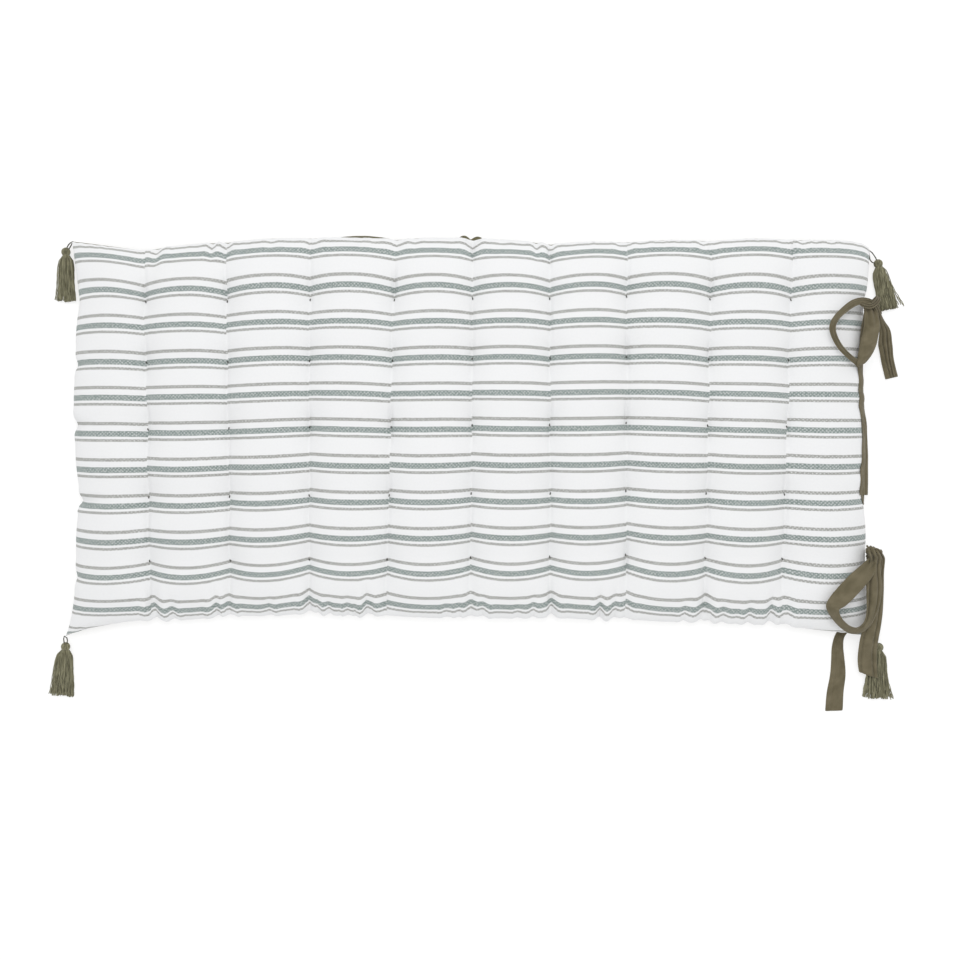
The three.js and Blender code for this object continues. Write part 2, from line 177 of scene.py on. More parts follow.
def ripple(tree, distance, pitch):
    """A wave from 0 to 1 that repeats each pitch."""
    turns = maths(tree, "MULTIPLY", distance, 2 * math.pi / pitch)
    return maths(tree, "MULTIPLY_ADD", maths(tree, "SINE", turns), 0.5, 0.5)


def add_weave_bump(tree, shader, along, across, flat, pitch, depth):
    """Crossing threads with uneven slubs, as a bump."""
    threads = maths(tree, "MULTIPLY", ripple(tree, along, pitch), ripple(tree, across, pitch))
    height = maths(tree, "MULTIPLY_ADD", speckle(tree, flat, 260.0, 3.0), SLUB_SHARE, threads)
    bump = node(tree, "ShaderNodeBump", [("Height", height), ("Strength", depth), ("Distance", BUMP_HEIGHT)])
    tree.links.new(bump.outputs[0], shader.inputs["Normal"])


print("Weave pitch", WEAVE_PITCH, "mm")

# %% Striped cotton
STRIPE_REPEAT = 55
BAND_WIDTH = 8.7
# Each thin line: its middle, counted down from the middle of the band, and its width
UPPER_LINE = (-15.4, 5.0)
LOWER_LINE = (10.1, 4.0)
# Repeats from the edge of the pattern to the middle of the cloth; the whole ones keep the count positive
STRIPE_START = 100.508
EDGE_WAVER, EDGE_BLUR = 0.9, 0.35
TWILL_PITCH = 5.2
FLECK_SHARE, LEAST_COVER, TWILL_SHARE = 1.2, 0.36, 0.5
GREEN_GREY, LINE_GREY = (0.222, 0.268, 0.254, 1), (0.33, 0.332, 0.313, 1)
DULL_WHITE, BRIGHT_WHITE = (0.78, 0.785, 0.79, 1), (0.83, 0.835, 0.842, 1)

striped_cotton, tree, shader = new_material("striped_cotton", 0.92, sheen=0.12)
flat, along, across = cloth_coordinates(tree)
shifted = maths(tree, "MULTIPLY_ADD", speckle(tree, flat, 90.0, 2.0), EDGE_WAVER, across)
repeat = maths(tree, "FRACT", maths(tree, "MULTIPLY_ADD", shifted, -1 / STRIPE_REPEAT, STRIPE_START))
down = maths(tree, "MULTIPLY_ADD", repeat, STRIPE_REPEAT, -STRIPE_REPEAT / 2)


def woven_line(middle, width):
    """1 on a stripe and 0 beside it, with a soft edge."""
    away = maths(tree, "ABSOLUTE", maths(tree, "SUBTRACT", down, middle))
    edge = [(0, away), (1, width / 2 - EDGE_BLUR), (2, width / 2 + EDGE_BLUR), (3, 1.0), (4, 0.0)]
    return node(tree, "ShaderNodeMapRange", edge).outputs[0]


twill = maths(tree, "MULTIPLY", ripple(tree, maths(tree, "ADD", along, across), TWILL_PITCH),
              ripple(tree, maths(tree, "SUBTRACT", along, across), TWILL_PITCH))
flecks = speckle(tree, flat, 330.0, 3.0)
grain = maths(tree, "MULTIPLY_ADD", flecks, FLECK_SHARE, LEAST_COVER)
cover = maths(tree, "MULTIPLY_ADD", twill, -TWILL_SHARE, grain)
band = maths(tree, "MULTIPLY", woven_line(0, BAND_WIDTH), cover)
lines = maths(tree, "MAXIMUM", woven_line(*UPPER_LINE), woven_line(*LOWER_LINE))
lines = maths(tree, "MULTIPLY", lines, cover)
ground = blend_colours(tree, flecks, DULL_WHITE, BRIGHT_WHITE)
stripes = blend_colours(tree, band, ground, GREEN_GREY)
tree.links.new(blend_colours(tree, lines, stripes, LINE_GREY), shader.inputs["Base Color"])
add_weave_bump(tree, shader, along, across, flat, WEAVE_PITCH, 0.3)
print("Stripe repeat", STRIPE_REPEAT, "mm, band", BAND_WIDTH, "mm")

# %% Olive cotton for the back
DARK_OLIVE, LIGHT_OLIVE = (0.11, 0.1, 0.055, 1), (0.17, 0.155, 0.09, 1)

olive_cotton, tree, shader = new_material("olive_cotton", 0.92, sheen=0.1)
flat, along, across = cloth_coordinates(tree)
olive = blend_colours(tree, speckle(tree, flat, 500.0, 2.0), DARK_OLIVE, LIGHT_OLIVE)
tree.links.new(olive, shader.inputs["Base Color"])
add_weave_bump(tree, shader, along, across, flat, WEAVE_PITCH, 0.35)
print("Cloth materials:", striped_cotton.name, olive_cotton.name)

# %% [markdown]
# ## The front panel, cut and tufted
#
# A maker cuts a flat panel, tufts it and fills it, and the spare cloth rises between the tufts. The same
# is done here: a flat grid is the cut panel, and each of its points knows its place in the cloth (for the
# stripes and for the springs of the cloth simulation) and its place on the sewn mattress. Nine columns and
# five rows of tufts were measured in the photograph, and so was the wavering outline. A few short tables
# hold these places, because a formula could not give what a hand has sewn.

# %% Tables of the sewn mattress, in millimetres
PLACE = Vector((-9.5, 70.5, 0)) * MM
PUFFS_LONG, PUFFS_WIDE = 10, 6
COLUMN_X = [-484, -362, -240, -118, 4, 122, 237, 360, 479]
COLUMN_LEAN = [-9, -7, 3, 15, 5, 0, 3, 12, 20]
ROW_Y = [196, 105, 5, -98, -194]
ROW_SHIFT = [-6, -6, -5, -3, -3, 0, 0, 3, -1, -2, -2]
OUTLINE = {
    "back": [285, 270, 282, 288, 286, 287, 279, 282, 284, 286, 271],
    "front": [-317, -291, -284, -280, -284, -286, -286, -289, -293, -296, -315],
    "left": [-604, -589.5, -595, -597, -588, -595, -615],
    "right": [608.5, 596, 592, 596.5, 595, 600, 604.5],
}
# How late each side bends out to its first and its last corner
CORNER_FLARES = {"back": (1.1, 6), "front": (1.6, 0.65), "left": (1.2, 2.2), "right": (0.4, 0.8)}
EDGE_BULGE = 3
TUFT_HEIGHT, CREASE_HEIGHT, ROW_HEIGHT, CROWN_HEIGHT = 29, 40, 49, 53
print("Tufts:", len(COLUMN_X) * len(ROW_Y))


# %% Plan of the tuft lines and the outline
def lerp(first, second, share):
    return first + (second - first) * share


def table_at(table, position):
    span = min(int(position), len(table) - 2)
    return lerp(table[span], table[span + 1], position - span)


def edge_at(side, position):
    """The outline at a position counted in puffs: scalloped, with flared corners."""
    edge, (first_flare, last_flare) = OUTLINE[side], CORNER_FLARES[side]
    last = len(edge) - 2
    span = min(int(position), last)
    share = position - span
    if span == 0:
        return lerp(edge[1], edge[0], (1 - share) ** first_flare)
    if span == last:
        return lerp(edge[span], edge[-1], share ** last_flare)
    bulge = math.copysign(EDGE_BULGE * math.sin(math.pi * share), edge[span])
    return lerp(edge[span], edge[span + 1], share) + bulge


def column_x(line, row):
    if line == 0:
        return edge_at("left", row)
    if line == PUFFS_LONG:
        return edge_at("right", row)
    return COLUMN_X[line - 1] + COLUMN_LEAN[line - 1] * (0.5 - row / PUFFS_WIDE)


def row_y(line, column):
    if line == 0:
        return edge_at("back", column)
    if line == PUFFS_WIDE:
        return edge_at("front", column)
    return ROW_Y[line - 1] + table_at(ROW_SHIFT, column)


def plan(column, row):
    """Where a point of the cloth lies on the floor plan if the edge is not rounded."""
    i, j = min(int(column), PUFFS_LONG - 1), min(int(row), PUFFS_WIDE - 1)
    x = lerp(column_x(i, row), column_x(i + 1, row), column - i)
    return x, lerp(row_y(j, column), row_y(j + 1, column), row - j)


print("Middle of the mattress:", [round(value, 1) for value in plan(PUFFS_LONG / 2, PUFFS_WIDE / 2)], "mm")

# %% [markdown]
# The edge of a filled mattress is round: the cloth goes over it and down to the seam, which is tucked
# under the front and the ends and lies open at the back. An arc in even steps gives the grid that shape
# before the simulation, so the springs start near their true length.

# %% Shape of the round edge
# How far the cloth turns down over each edge, in degrees: past 90 it tucks under
EDGE_TURNS = {"back": 92, "front": 114, "side": 106}
ARC_OUT, ARC_DOWN, ARC_STEPS = 95, 32, 40


def inset(position, puffs):
    """How far a position lies from the nearer seam, in puffs."""
    return min(position, puffs - position)


def even_angle(share, end):
    """The angle on a flat arc that a point reaches when the arc is walked in even steps."""
    angles = [end * (step + 0.5) / ARC_STEPS for step in range(ARC_STEPS)]
    lengths = [math.hypot(ARC_OUT * math.cos(angle), ARC_DOWN * math.sin(angle)) for angle in angles]
    left = share * sum(lengths)
    for step, length in enumerate(lengths):
        if left <= length:
            return end * (step + left / length) / ARC_STEPS
        left -= length
    return end


def over_edge(position, puffs, near_turn, far_turn, nearness):
    """How far a point of an edge puff has gone outwards, and what is left of its height."""
    if 1 <= position <= puffs - 1:
        return None, 1.0
    near = position < 1
    share = 1 - position if near else position - puffs + 1
    end = math.radians(lerp(near_turn if near else far_turn, 90, nearness))
    angle = even_angle(share, end)
    return (0 if near else puffs, math.sin(angle)), math.cos(angle)


half_way = even_angle(0.5, math.radians(EDGE_TURNS["front"]))
print("Half way over the front edge the arc has gone", round(math.degrees(half_way)), "degrees")

# %% Places on the sewn mattress, in millimetres
SEAM_HEIGHT, CORNER_DROP = 22, 7
# How wide the crests of the puffs are, against their creases
CREST_POWER = 1.6


def puff_share(position, puffs):
    """0 on a tuft line and 1 at the crest; the outer half of an edge puff stays at the crest."""
    return abs(math.sin(math.pi * min(max(position, 0.5), puffs - 0.5)))


def sewn_place(column, row):
    """The place of a front panel point on the filled mattress, in millimetres."""
    x, y = plan(column, row)
    along_ends = max(0, 1 - inset(column, PUFFS_LONG))
    along_sides = max(0, 1 - inset(row, PUFFS_WIDE))
    near_side, side_left = over_edge(row, PUFFS_WIDE, EDGE_TURNS["back"], EDGE_TURNS["front"], along_ends)
    near_end, end_left = over_edge(column, PUFFS_LONG, EDGE_TURNS["side"], EDGE_TURNS["side"], along_sides)
    if near_side:
        line, out = near_side
        inner = 1 if line == 0 else PUFFS_WIDE - 1
        y = lerp(row_y(inner, column), row_y(line, column), out)
    if near_end:
        line, out = near_end
        inner = 1 if line == 0 else PUFFS_LONG - 1
        x = lerp(column_x(inner, row), column_x(line, row), out)
    between_columns = puff_share(column, PUFFS_LONG)
    between_rows = puff_share(row, PUFFS_WIDE)
    crease = lerp(TUFT_HEIGHT, CREASE_HEIGHT, between_rows ** 2)
    crest = lerp(ROW_HEIGHT, CROWN_HEIGHT, between_rows)
    top = lerp(crease, crest, 1 - (1 - between_columns) ** CREST_POWER)
    seam = SEAM_HEIGHT - CORNER_DROP * (along_ends * along_sides) ** 2
    return x, y, seam + (top - seam) * side_left * end_left


print("Seam at the middle of the front:", [round(value) for value in sewn_place(5.5, PUFFS_WIDE)], "mm")

# %% [markdown]
# Stripes show at once where cloth is short or spare. So the flat cut is not an even grid: its lines lie
# where the photograph's stripes put them, a little short between the tufts. At a crease the stripes of two
# puffs have slipped past each other, and at the two ends the gathered seam bends them. Those two are only
# moved in the UV map, which leaves the springs alone.

# %% Places in the flat cloth, in millimetres
# Places of the tuft lines in the flat cloth: on the columns, and midway between them
CLOTH_COLUMNS = [-632, -502, -376.5, -251, -125.5, 0, 125.5, 251, 376.5, 502, 632]
CLOTH_ROWS = [308, 206, 111.5, 7.5, -98.5, -198.5, -322]
CLOTH_ROWS_BETWEEN = [308, 203, 110.5, 8.5, -95.5, -193, -322]
STRIPE_DRIFT = [5, 5.5, 3, -2, 0, -2, -1.5, -3.7, -0.5, 1, 0]
BACK_SEAM_DRIFT = [-10, -3, -3, -2, -0.5, 2, -1, -6, -5, -5, -4]
FRONT_SEAM_DRIFT = [2, 1, 4, 1, 1, -1, -2, -4, -1, -4, 0]
# The outer rows of tufts pull the cloth towards them, more at the front, near this place in the edge puffs
TUFT_PULL, FRONT_PULL, PULL_PLACE, PULL_REACH = 3, 1.4, 0.75, 0.6
# Spare cloth in the ears of the two front corners
CORNER_SPARE = 16


def pull_near(row, place):
    return max(0, 1 - abs(row - place) / PULL_REACH)


def cloth_place(column, row):
    """The place of a point in the flat cut panel, in millimetres."""
    share = min(max(column, 0.5), PUFFS_LONG - 0.5) % 1
    crest = 4 * share * (1 - share)
    across = lerp(table_at(CLOTH_ROWS, row), table_at(CLOTH_ROWS_BETWEEN, row), crest)
    seam_drift = BACK_SEAM_DRIFT if row < 1 else FRONT_SEAM_DRIFT
    stripe_drift = table_at(STRIPE_DRIFT, column) + table_at(ROW_SHIFT, column)
    drift = lerp(table_at(seam_drift, column), stripe_drift, min(1, inset(row, PUFFS_WIDE)))
    pulls = pull_near(row, PULL_PLACE) - FRONT_PULL * pull_near(row, PUFFS_WIDE - PULL_PLACE)
    pull = TUFT_PULL * (1 - crest) * pulls
    ear = max(0, 1 - inset(column, PUFFS_LONG)) * max(0, row - PUFFS_WIDE + 1)
    return table_at(CLOTH_COLUMNS, column), across + drift + pull - CORNER_SPARE * ear ** 2


print("Cut panel:", CLOTH_COLUMNS[-1] - CLOTH_COLUMNS[0], "x", CLOTH_ROWS[0] - CLOTH_ROWS[-1], "mm")

# %% Slips of the stripes, in millimetres
# How far the stripes slip past each other at each tuft column: at the back, between the rows, at the front
STRIPE_SLIPS = [
    [-2.5, -1, -1.5, -2.5, -2, 1.5, 2], [3, 3, 2, 0.5, -2, 0, 0], [0.5, 0.5, 1, 1, 1, -0.5, 2.5],
    [0, 0, 1.8, 2.5, 3, -1, -4], [-2, -1, 0, 3, -0.5, -2, 2], [3, 0.5, 2, 1.5, -1, -1, 1.5],
    [-3, -1.5, 0, 0, 0, -3, -3.5], [-1, -0.5, 2.5, 2.5, 0.5, 0.8, 1], [-2, -1, 1, 4.5, -0.5, 0.6, 1],
]
# How far the stripes sink towards the front, where the seams of the two ends gather the cloth
END_SINKS = {"left": [10, 6, 2, -2, -4, -9, -13], "right": [0, 1.5, 2, -1, -4.5, -7.5, -8]}
END_REACH = 0.6


def stripe_slip(column, row, middle):
    """How far a puff's stripes have slipped at its creases; middle is the column at the face's middle."""
    line = round(middle)
    if not 0 < line < PUFFS_LONG:
        return 0
    fade = max(0, 1 - 2 * abs(column - line)) ** 2
    return math.copysign(table_at(STRIPE_SLIPS[line - 1], row) / 2, line - middle) * fade


def end_sink(column, row):
    """How far the stripes have sunk near a gathered end seam."""
    sinks = END_SINKS["left" if column < PUFFS_LONG / 2 else "right"]
    return table_at(sinks, row) * max(0, 1 - inset(column, PUFFS_LONG) / END_REACH) ** 2


print("At the back of the left end the stripes sink by", end_sink(0, 0), "mm")

# %% Grid lines and tuft points
SQUARES_LONG, SQUARES_WIDE = 22, 12
BUNCHING = 0.45


def bunched(position):
    """Moves the grid lines of a puff towards the tuft columns, where the creases need them."""
    return position - BUNCHING * math.sin(2 * math.pi * position) / (2 * math.pi)


def on_line(position):
    return abs(position - round(position)) < 1e-3


def is_tuft(column, row):
    inside = 0 < round(column) < PUFFS_LONG and 0 < round(row) < PUFFS_WIDE
    return inside and on_line(column) and on_line(row)


print("First grid line of a puff:", round(bunched(1 / SQUARES_LONG), 3), "of its length")

# %% Cut the panel and mark what holds it
CREASE_HOLD, CREASE_WANDER = 0.6, 3

panel = bmesh.new()
bmesh.ops.create_grid(panel, x_segments=PUFFS_LONG * SQUARES_LONG, y_segments=PUFFS_WIDE * SQUARES_WIDE,
                      size=0.5)
column_of = panel.verts.layers.float.new("column")
row_of = panel.verts.layers.float.new("row")
front_of = panel.verts.layers.float.new("front")
holds = panel.verts.layers.deform.new()
cloth_uv = panel.loops.layers.uv.new("cloth")
cut_places = []
for vert in panel.verts:
    column, row = bunched((vert.co.x + 0.5) * PUFFS_LONG), (0.5 - vert.co.y) * PUFFS_WIDE
    vert[column_of], vert[row_of], vert[front_of] = column, row, 1
    x, y, z = sewn_place(column, row)
    if vert.is_boundary or is_tuft(column, row):
        vert[holds][0] = 1.0
    elif on_line(column):
        vert[holds][0] = CREASE_HOLD
        x += CREASE_WANDER * noise.noise(Vector((column * 9.1, row * 2.3, 0.5)))
    cut_places.append(Vector((*cloth_place(column, row), 0)) * MM)
    vert.co = Vector((x, y, z)) * MM
panel.verts.index_update()
for face in panel.faces:
    face.smooth = True
    middle = sum(vert[column_of] for vert in face.verts) / len(face.verts)
    for loop in face.loops:
        column, row = loop.vert[column_of], loop.vert[row_of]
        slip = stripe_slip(column, row, middle) + end_sink(column, row)
        loop[cloth_uv].uv = cut_places[loop.vert.index].xy + Vector((0, slip * MM))
mattress = new_piece("mattress_cover", panel, [striped_cotton, olive_cotton])
mattress.vertex_groups.new(name="held")
print("Front panel:", len(mattress.data.polygons), "squares")

# %% [markdown]
# ## Filling it
#
# Puffs could be drawn by hand, but cloth that is pushed up from below finds its own tight spots and slack
# ones. Blender's Cloth does it: the flat cut gives the springs their length, the seam and the tufts are
# held, gravity is off, and a steady pressure stands for the filling. The result is applied, so no
# simulation stays on the piece.

# %% Run the cloth and keep its result
FILL_FRAMES = 24


def keep_result(piece):
    """Replaces a piece's mesh by what its modifiers and keys make of it."""
    shown = piece.evaluated_get(bpy.context.evaluated_depsgraph_get())
    result = bpy.data.meshes.new_from_object(shown)
    piece.modifiers.clear()
    if piece.data.shape_keys:
        piece.shape_key_clear()
    piece.data = result


mattress.shape_key_add(name="sewn")
cut_key = mattress.shape_key_add(name="cut")
for number, place in enumerate(cut_places):
    cut_key.data[number].co = place
filling = mattress.modifiers.new("filling", "CLOTH")
filling.settings.quality = 5
filling.settings.mass = 0.15
filling.settings.air_damping = 2
filling.settings.tension_stiffness = 30
filling.settings.compression_stiffness = 30
filling.settings.shear_stiffness = 10
filling.settings.bending_stiffness = 0.3
filling.settings.vertex_group_mass = "held"
filling.settings.rest_shape_key = cut_key
filling.settings.use_pressure = True
filling.settings.uniform_pressure_force = 6
filling.settings.effector_weights.gravity = 0
filling.collision_settings.use_collision = False
filling.point_cache.frame_end = FILL_FRAMES
scene.frame_end = FILL_FRAMES
for number in range(1, FILL_FRAMES + 1):
    scene.frame_set(number)
keep_result(mattress)
scene.frame_set(1)
heights = [vert.co.z for vert in mattress.data.vertices]
print("Crown after filling:", round(max(heights) * 1000, 1), "mm, seam", round(min(heights) * 1000, 1), "mm")

# %% [markdown]
# ## The back panel and the seam
#
# The back lies on the floor. It is a copy of the front's grid, laid flat with a dimple under each tuft,
# turned over and bridged to the front along the seam, so the mattress is one closed skin.

# %% Copy the front panel
body = bmesh.new()
body.from_mesh(mattress.data)
sharp_edges = body.edges.layers.float.new("crease_edge")
sharp_verts = body.verts.layers.float.new("crease_vert")
column_of, row_of = body.verts.layers.float["column"], body.verts.layers.float["row"]
front_of = body.verts.layers.float["front"]
rim = [edge for edge in body.edges if edge.is_boundary]
seam_place = {}
for vert in {vert for edge in rim for vert in edge.verts}:
    seam_place[round(vert[column_of], 3), round(vert[row_of], 3)] = vert.co.copy()
copied = bmesh.ops.duplicate(body, geom=body.faces[:])
back_faces = [part for part in copied["geom"] if isinstance(part, bmesh.types.BMFace)]
back_verts = [part for part in copied["geom"] if isinstance(part, bmesh.types.BMVert)]


def seam_at(column, row):
    return seam_place[round(column, 3), round(row, 3)]


print("Seam points:", len(seam_place), "back panel:", len(back_faces), "squares")

# %% Lay the copy on the floor
# How far the back rolls up and how far a dimple reaches, in puffs, and the rest in millimetres
UNDER_ROLL, DIMPLE_REACH = 0.42, 0.3
DIMPLE_HEIGHT, SEAM_THICKNESS, RIM_INSET = 6, 1.4, 2.5
# Above 1 the long sides take more of the corners than the ends do
SIDE_BIAS = 1.2


def back_rise(column, row):
    """How far the back has rolled up to the seam, from 0 to 1, and the height of its dimple."""
    inwards = min(inset(column, PUFFS_LONG), inset(row, PUFFS_WIDE)) / UNDER_ROLL
    roll = 1 - math.sqrt(1 - (1 - min(inwards, 1)) ** 2)
    line = min(max(round(column), 1), PUFFS_LONG - 1), min(max(round(row), 1), PUFFS_WIDE - 1)
    away = math.hypot(column - line[0], row - line[1]) / DIMPLE_REACH
    return roll, DIMPLE_HEIGHT * max(0, 1 - away) ** 2


def nearest_seam(column, row):
    if inset(column, PUFFS_LONG) * SIDE_BIAS < inset(row, PUFFS_WIDE):
        return seam_at(0 if column < PUFFS_LONG / 2 else PUFFS_LONG, row)
    return seam_at(column, 0 if row < PUFFS_WIDE / 2 else PUFFS_WIDE)


for vert in back_verts:
    column, row = vert[column_of], vert[row_of]
    vert[front_of] = 0
    roll, dimple = back_rise(column, row)
    x, y = Vector(plan(column, row)) * MM
    ends = seam_at(0, row).x, seam_at(PUFFS_LONG, row).x
    sides = seam_at(column, 0).y, seam_at(column, PUFFS_WIDE).y
    if column < 1 or column > PUFFS_LONG - 1:
        inner = column_x(1 if column < 1 else PUFFS_LONG - 1, row) * MM
        x = lerp(ends[column > 1], inner, inset(column, PUFFS_LONG))
    if row < 1 or row > PUFFS_WIDE - 1:
        inner = row_y(1 if row < 1 else PUFFS_WIDE - 1, column) * MM
        y = lerp(sides[row > 1], inner, inset(row, PUFFS_WIDE))
    if vert.is_boundary:
        x -= math.copysign(RIM_INSET * MM, x) * (column in (0, PUFFS_LONG))
        y += RIM_INSET * MM * (row == PUFFS_WIDE)
    seam_z = nearest_seam(column, row).z - SEAM_THICKNESS * MM
    vert.co = (x, y, max(roll * seam_z, dimple * MM))
print("Lowest point of the back:", round(min(vert.co.z for vert in back_verts) * 1000, 2), "mm")

# %% Join the two along the seam
bmesh.ops.reverse_faces(body, faces=back_faces)
back_rim = [edge for edge in body.edges if edge.is_boundary and edge not in set(rim)]
for edge in rim + back_rim:
    edge[sharp_edges] = 1
for vert in body.verts:
    if inset(vert[column_of], PUFFS_LONG) + inset(vert[row_of], PUFFS_WIDE) < 1e-3:
        vert[sharp_verts] = 1
joined = bmesh.ops.bridge_loops(body, edges=rim + back_rim)
for face in back_faces + joined["faces"]:
    face.material_index = 1
    face.smooth = True
bmesh.ops.recalc_face_normals(body, faces=body.faces[:])
if body.calc_volume(signed=True) < 0:
    bmesh.ops.reverse_faces(body, faces=body.faces[:])
print("Closed skin:", len(body.faces), "faces, open edges", sum(edge.is_boundary for edge in body.edges),
      "volume", round(body.calc_volume(signed=True) * 1000, 1), "litres")
body.to_mesh(mattress.data)
body.free()

# %% [markdown]
# ## Pleats at the seam
#
# Where the seam gathers the cloth it falls into small pleats, most of them close to the tuft columns.
# A finer mesh is needed for these, so the skin is subdivided first. Each pleat is then a narrow furrow
# that starts at the seam and fades inwards; it pulls the stripes in with it, as the real ones do. The
# larger pleats stand where the photograph has them, and noise puckers the seam between them. In a few
# places the olive back bulges out past the back seam.

# %% Pleats of each side
# Each pleat: place along the edge, depth, half width, reach inwards, all in millimetres
BACK_PLEATS = [
    (-472, 5, 10, 60), (-387, 4.5, 7, 44), (-365, 4, 9, 40), (-297, 2, 8, 34), (-235, 3, 11, 40),
    (-172, 2, 30, 16), (-142, 1.5, 8, 26), (-108, 3, 10, 38), (-81, 2, 7, 28), (6, 7, 12, 44),
    (51, 2, 8, 26), (102, 5, 7, 44), (125, 3.5, 9, 40), (228, 3.5, 8, 36), (240, 2.5, 8, 44),
    (259, 2, 7, 26), (354, 4, 9, 34), (369, 2, 8, 40), (475, 2, 8, 26), (506, 3.5, 9, 30),
    (521, 2, 7, 26), (547, 2, 8, 22),
]
FRONT_PLEATS = [
    (-473, 7, 9, 62), (-445, 5, 7, 40), (-380, 7, 7, 66), (-365, 4, 9, 60), (-310, 2, 7, 34),
    (-300, 4, 7, 38), (-240, 7, 9, 70), (-228, 4, 7, 52), (-210, 3, 6, 34), (-182, 4, 6, 42),
    (-172, 3, 5, 30), (-154, 8, 7, 70), (-146, 5, 7, 60), (-35, 3, 6, 34), (-14, 2.5, 5, 28),
    (5, 5, 9, 60), (20, 7, 8, 42), (73, 2.5, 6, 28), (96, 4, 6, 42), (125, 6, 9, 56),
    (197, 7, 7, 50), (220, 7, 8, 54), (234, 5, 9, 52), (324, 3, 7, 36), (348, 4, 7, 46),
    (357, 6, 9, 74), (383, 3, 7, 36), (422, 5, 7, 42), (455, 7, 8, 52), (479, 4, 9, 50),
]
LEFT_PLEATS = [(96, 3, 10, 40), (6, 5, 11, 44), (-109, 5, 9, 60), (-224, 3, 11, 40)]
RIGHT_PLEATS = [(57, 3, 11, 44), (35, 2.5, 11, 52), (-63, 2.5, 11, 40)]
# Each side: its axis, the way inwards, the cloth that lies out of sight below its bulge, its pleats
SIDES = [
    ("y", -1, 4, BACK_PLEATS), ("y", 1, 30, FRONT_PLEATS),
    ("x", 1, 18, LEFT_PLEATS), ("x", -1, 18, RIGHT_PLEATS),
]
print("Pleats:", sum(len(pleats) for *_, pleats in SIDES))

# %% Lips and puckers of the seams
# Small puckers: their size, how far they reach, their length, and the length of a stretch that has many
SEAM_GATHER, GATHER_REACH, PUCKER_LENGTH, STRETCH_LENGTH = 3, 30, 8, 80
# How strong the puckers are in the mean, and how much this changes from stretch to stretch
GATHER_MEAN, GATHER_SWING = 0.4, 1.5
# Where the olive back bulges out past the seam: place, half width, how far
OLIVE_LIPS = [(-156, 40, 2.8), (-7, 9, 4.4), (12, 9, 4.4)]
LIP_REACH = 22


def seam_distances(column, row):
    """Cloth distance to the back, front, left and right seam."""
    across, along = table_at(CLOTH_ROWS, row), table_at(CLOTH_COLUMNS, column)
    return (CLOTH_ROWS[0] - across, across - CLOTH_ROWS[-1],
            along - CLOTH_COLUMNS[0], CLOTH_COLUMNS[-1] - along)


def lip_out(place, distance):
    """How far the back panel bulges out past the back seam, in millimetres."""
    fade = max(0, 1 - distance / LIP_REACH)
    return fade * max(out * max(0, 1 - ((place - middle) / half) ** 2) for middle, half, out in OLIVE_LIPS)


def gather_move(place, side, beyond):
    """Small uneven puckers along a long seam, stronger in some stretches than in others."""
    stretch = noise.noise(Vector((place / STRETCH_LENGTH, side * 5, 2)))
    strength = max(0, GATHER_MEAN + GATHER_SWING * stretch)
    pucker = noise.noise(Vector((place / PUCKER_LENGTH, side * 5, 1)))
    return SEAM_GATHER * strength * pucker * max(0, 1 - beyond / GATHER_REACH)


print("Olive lips:", [round(lip_out(middle, 0), 1) for middle, *_ in OLIVE_LIPS], "mm out")

# %% How the pleats move the cloth
# Beside each furrow the cloth stands up: how much, and how many half widths away
RIDGE_SHARE, RIDGE_PLACE = 0.4, 1.6
# A furrow is shallow at the seam, and sinks only above the first stretch of cloth
PLEAT_AT_SEAM, FULL_DEPTH_PLACE, PLEAT_SINK, SINK_START = 0.35, 1.3, 0.8, 12


def pleat_move(spot, column, row):
    """How the pleats shift a point of the cloth, in millimetres."""
    move = Vector((0, 0, 0))
    for (axis, inwards, hidden, pleats), distance in zip(SIDES, seam_distances(column, row)):
        if axis == "y":
            move.y += inwards * gather_move(spot.x, inwards, max(0, distance - hidden))
        for place, depth, half_width, reach in pleats:
            aside = abs((spot.x if axis == "y" else spot.y) - place) / half_width
            fade = 1 - max(0, distance - hidden) / reach
            if aside > RIDGE_PLACE + 1 or fade <= 0:
                continue
            furrow = max(0, 1 - aside)
            if axis == "x":
                furrow = furrow ** 2 * (3 - 2 * furrow)
            furrow -= RIDGE_SHARE * max(0, 1 - abs(aside - RIDGE_PLACE))
            grown = min(1, distance / (FULL_DEPTH_PLACE * hidden))
            press = depth * furrow * fade * lerp(PLEAT_AT_SEAM, 1, grown)
            setattr(move, axis, getattr(move, axis) + inwards * press)
            move.z -= PLEAT_SINK * press * min(1, distance / SINK_START)
    return move


first_pleat = pleat_move(Vector((FRONT_PLEATS[0][0], 0, 0)), 1, PUFFS_WIDE - 0.5)
print("First front pleat moves the cloth by", [round(value, 1) for value in first_pleat], "mm")

# %% Subdivide, and plan the creases
# Each tuft column is also a sharp crease: its depth and half width, and the length of a puff, in millimetres
CREASE_DEPTH, CREASE_HALF_WIDTH, PUFF_LENGTH = 4, 4.5, 120
# The least share of that depth, the mean share, and how much it changes from stretch to stretch
CREASE_LEAST, CREASE_MEAN, CREASE_SWING = 0.05, 0.25, 1.3

fine = mattress.modifiers.new("fine", "SUBSURF")
fine.levels = fine.render_levels = 1
keep_result(mattress)


def crease_fall(column, row):
    """How far the narrow crease of a tuft column sinks, deeper in some stretches than in others."""
    line = round(column)
    if not 0 < line < PUFFS_LONG:
        return 0
    crease = max(0, 1 - abs(column - line) * PUFF_LENGTH / CREASE_HALF_WIDTH)
    stretch = noise.noise(Vector((column * 5, row * 1.9, 7)))
    return CREASE_DEPTH * crease * max(CREASE_LEAST, CREASE_MEAN + CREASE_SWING * stretch)


print("Subdivided skin:", len(mattress.data.polygons), "faces")

# %% Press in the pleats
# How much the back follows the pleats, and how far from the seam
BACK_FOLLOWS, BACK_REACH = 0.4, 9
# Small lumps of the filling
LUMP_LENGTH, LUMP_WIDTH, LUMP_HEIGHT = 33, 27, 0.5

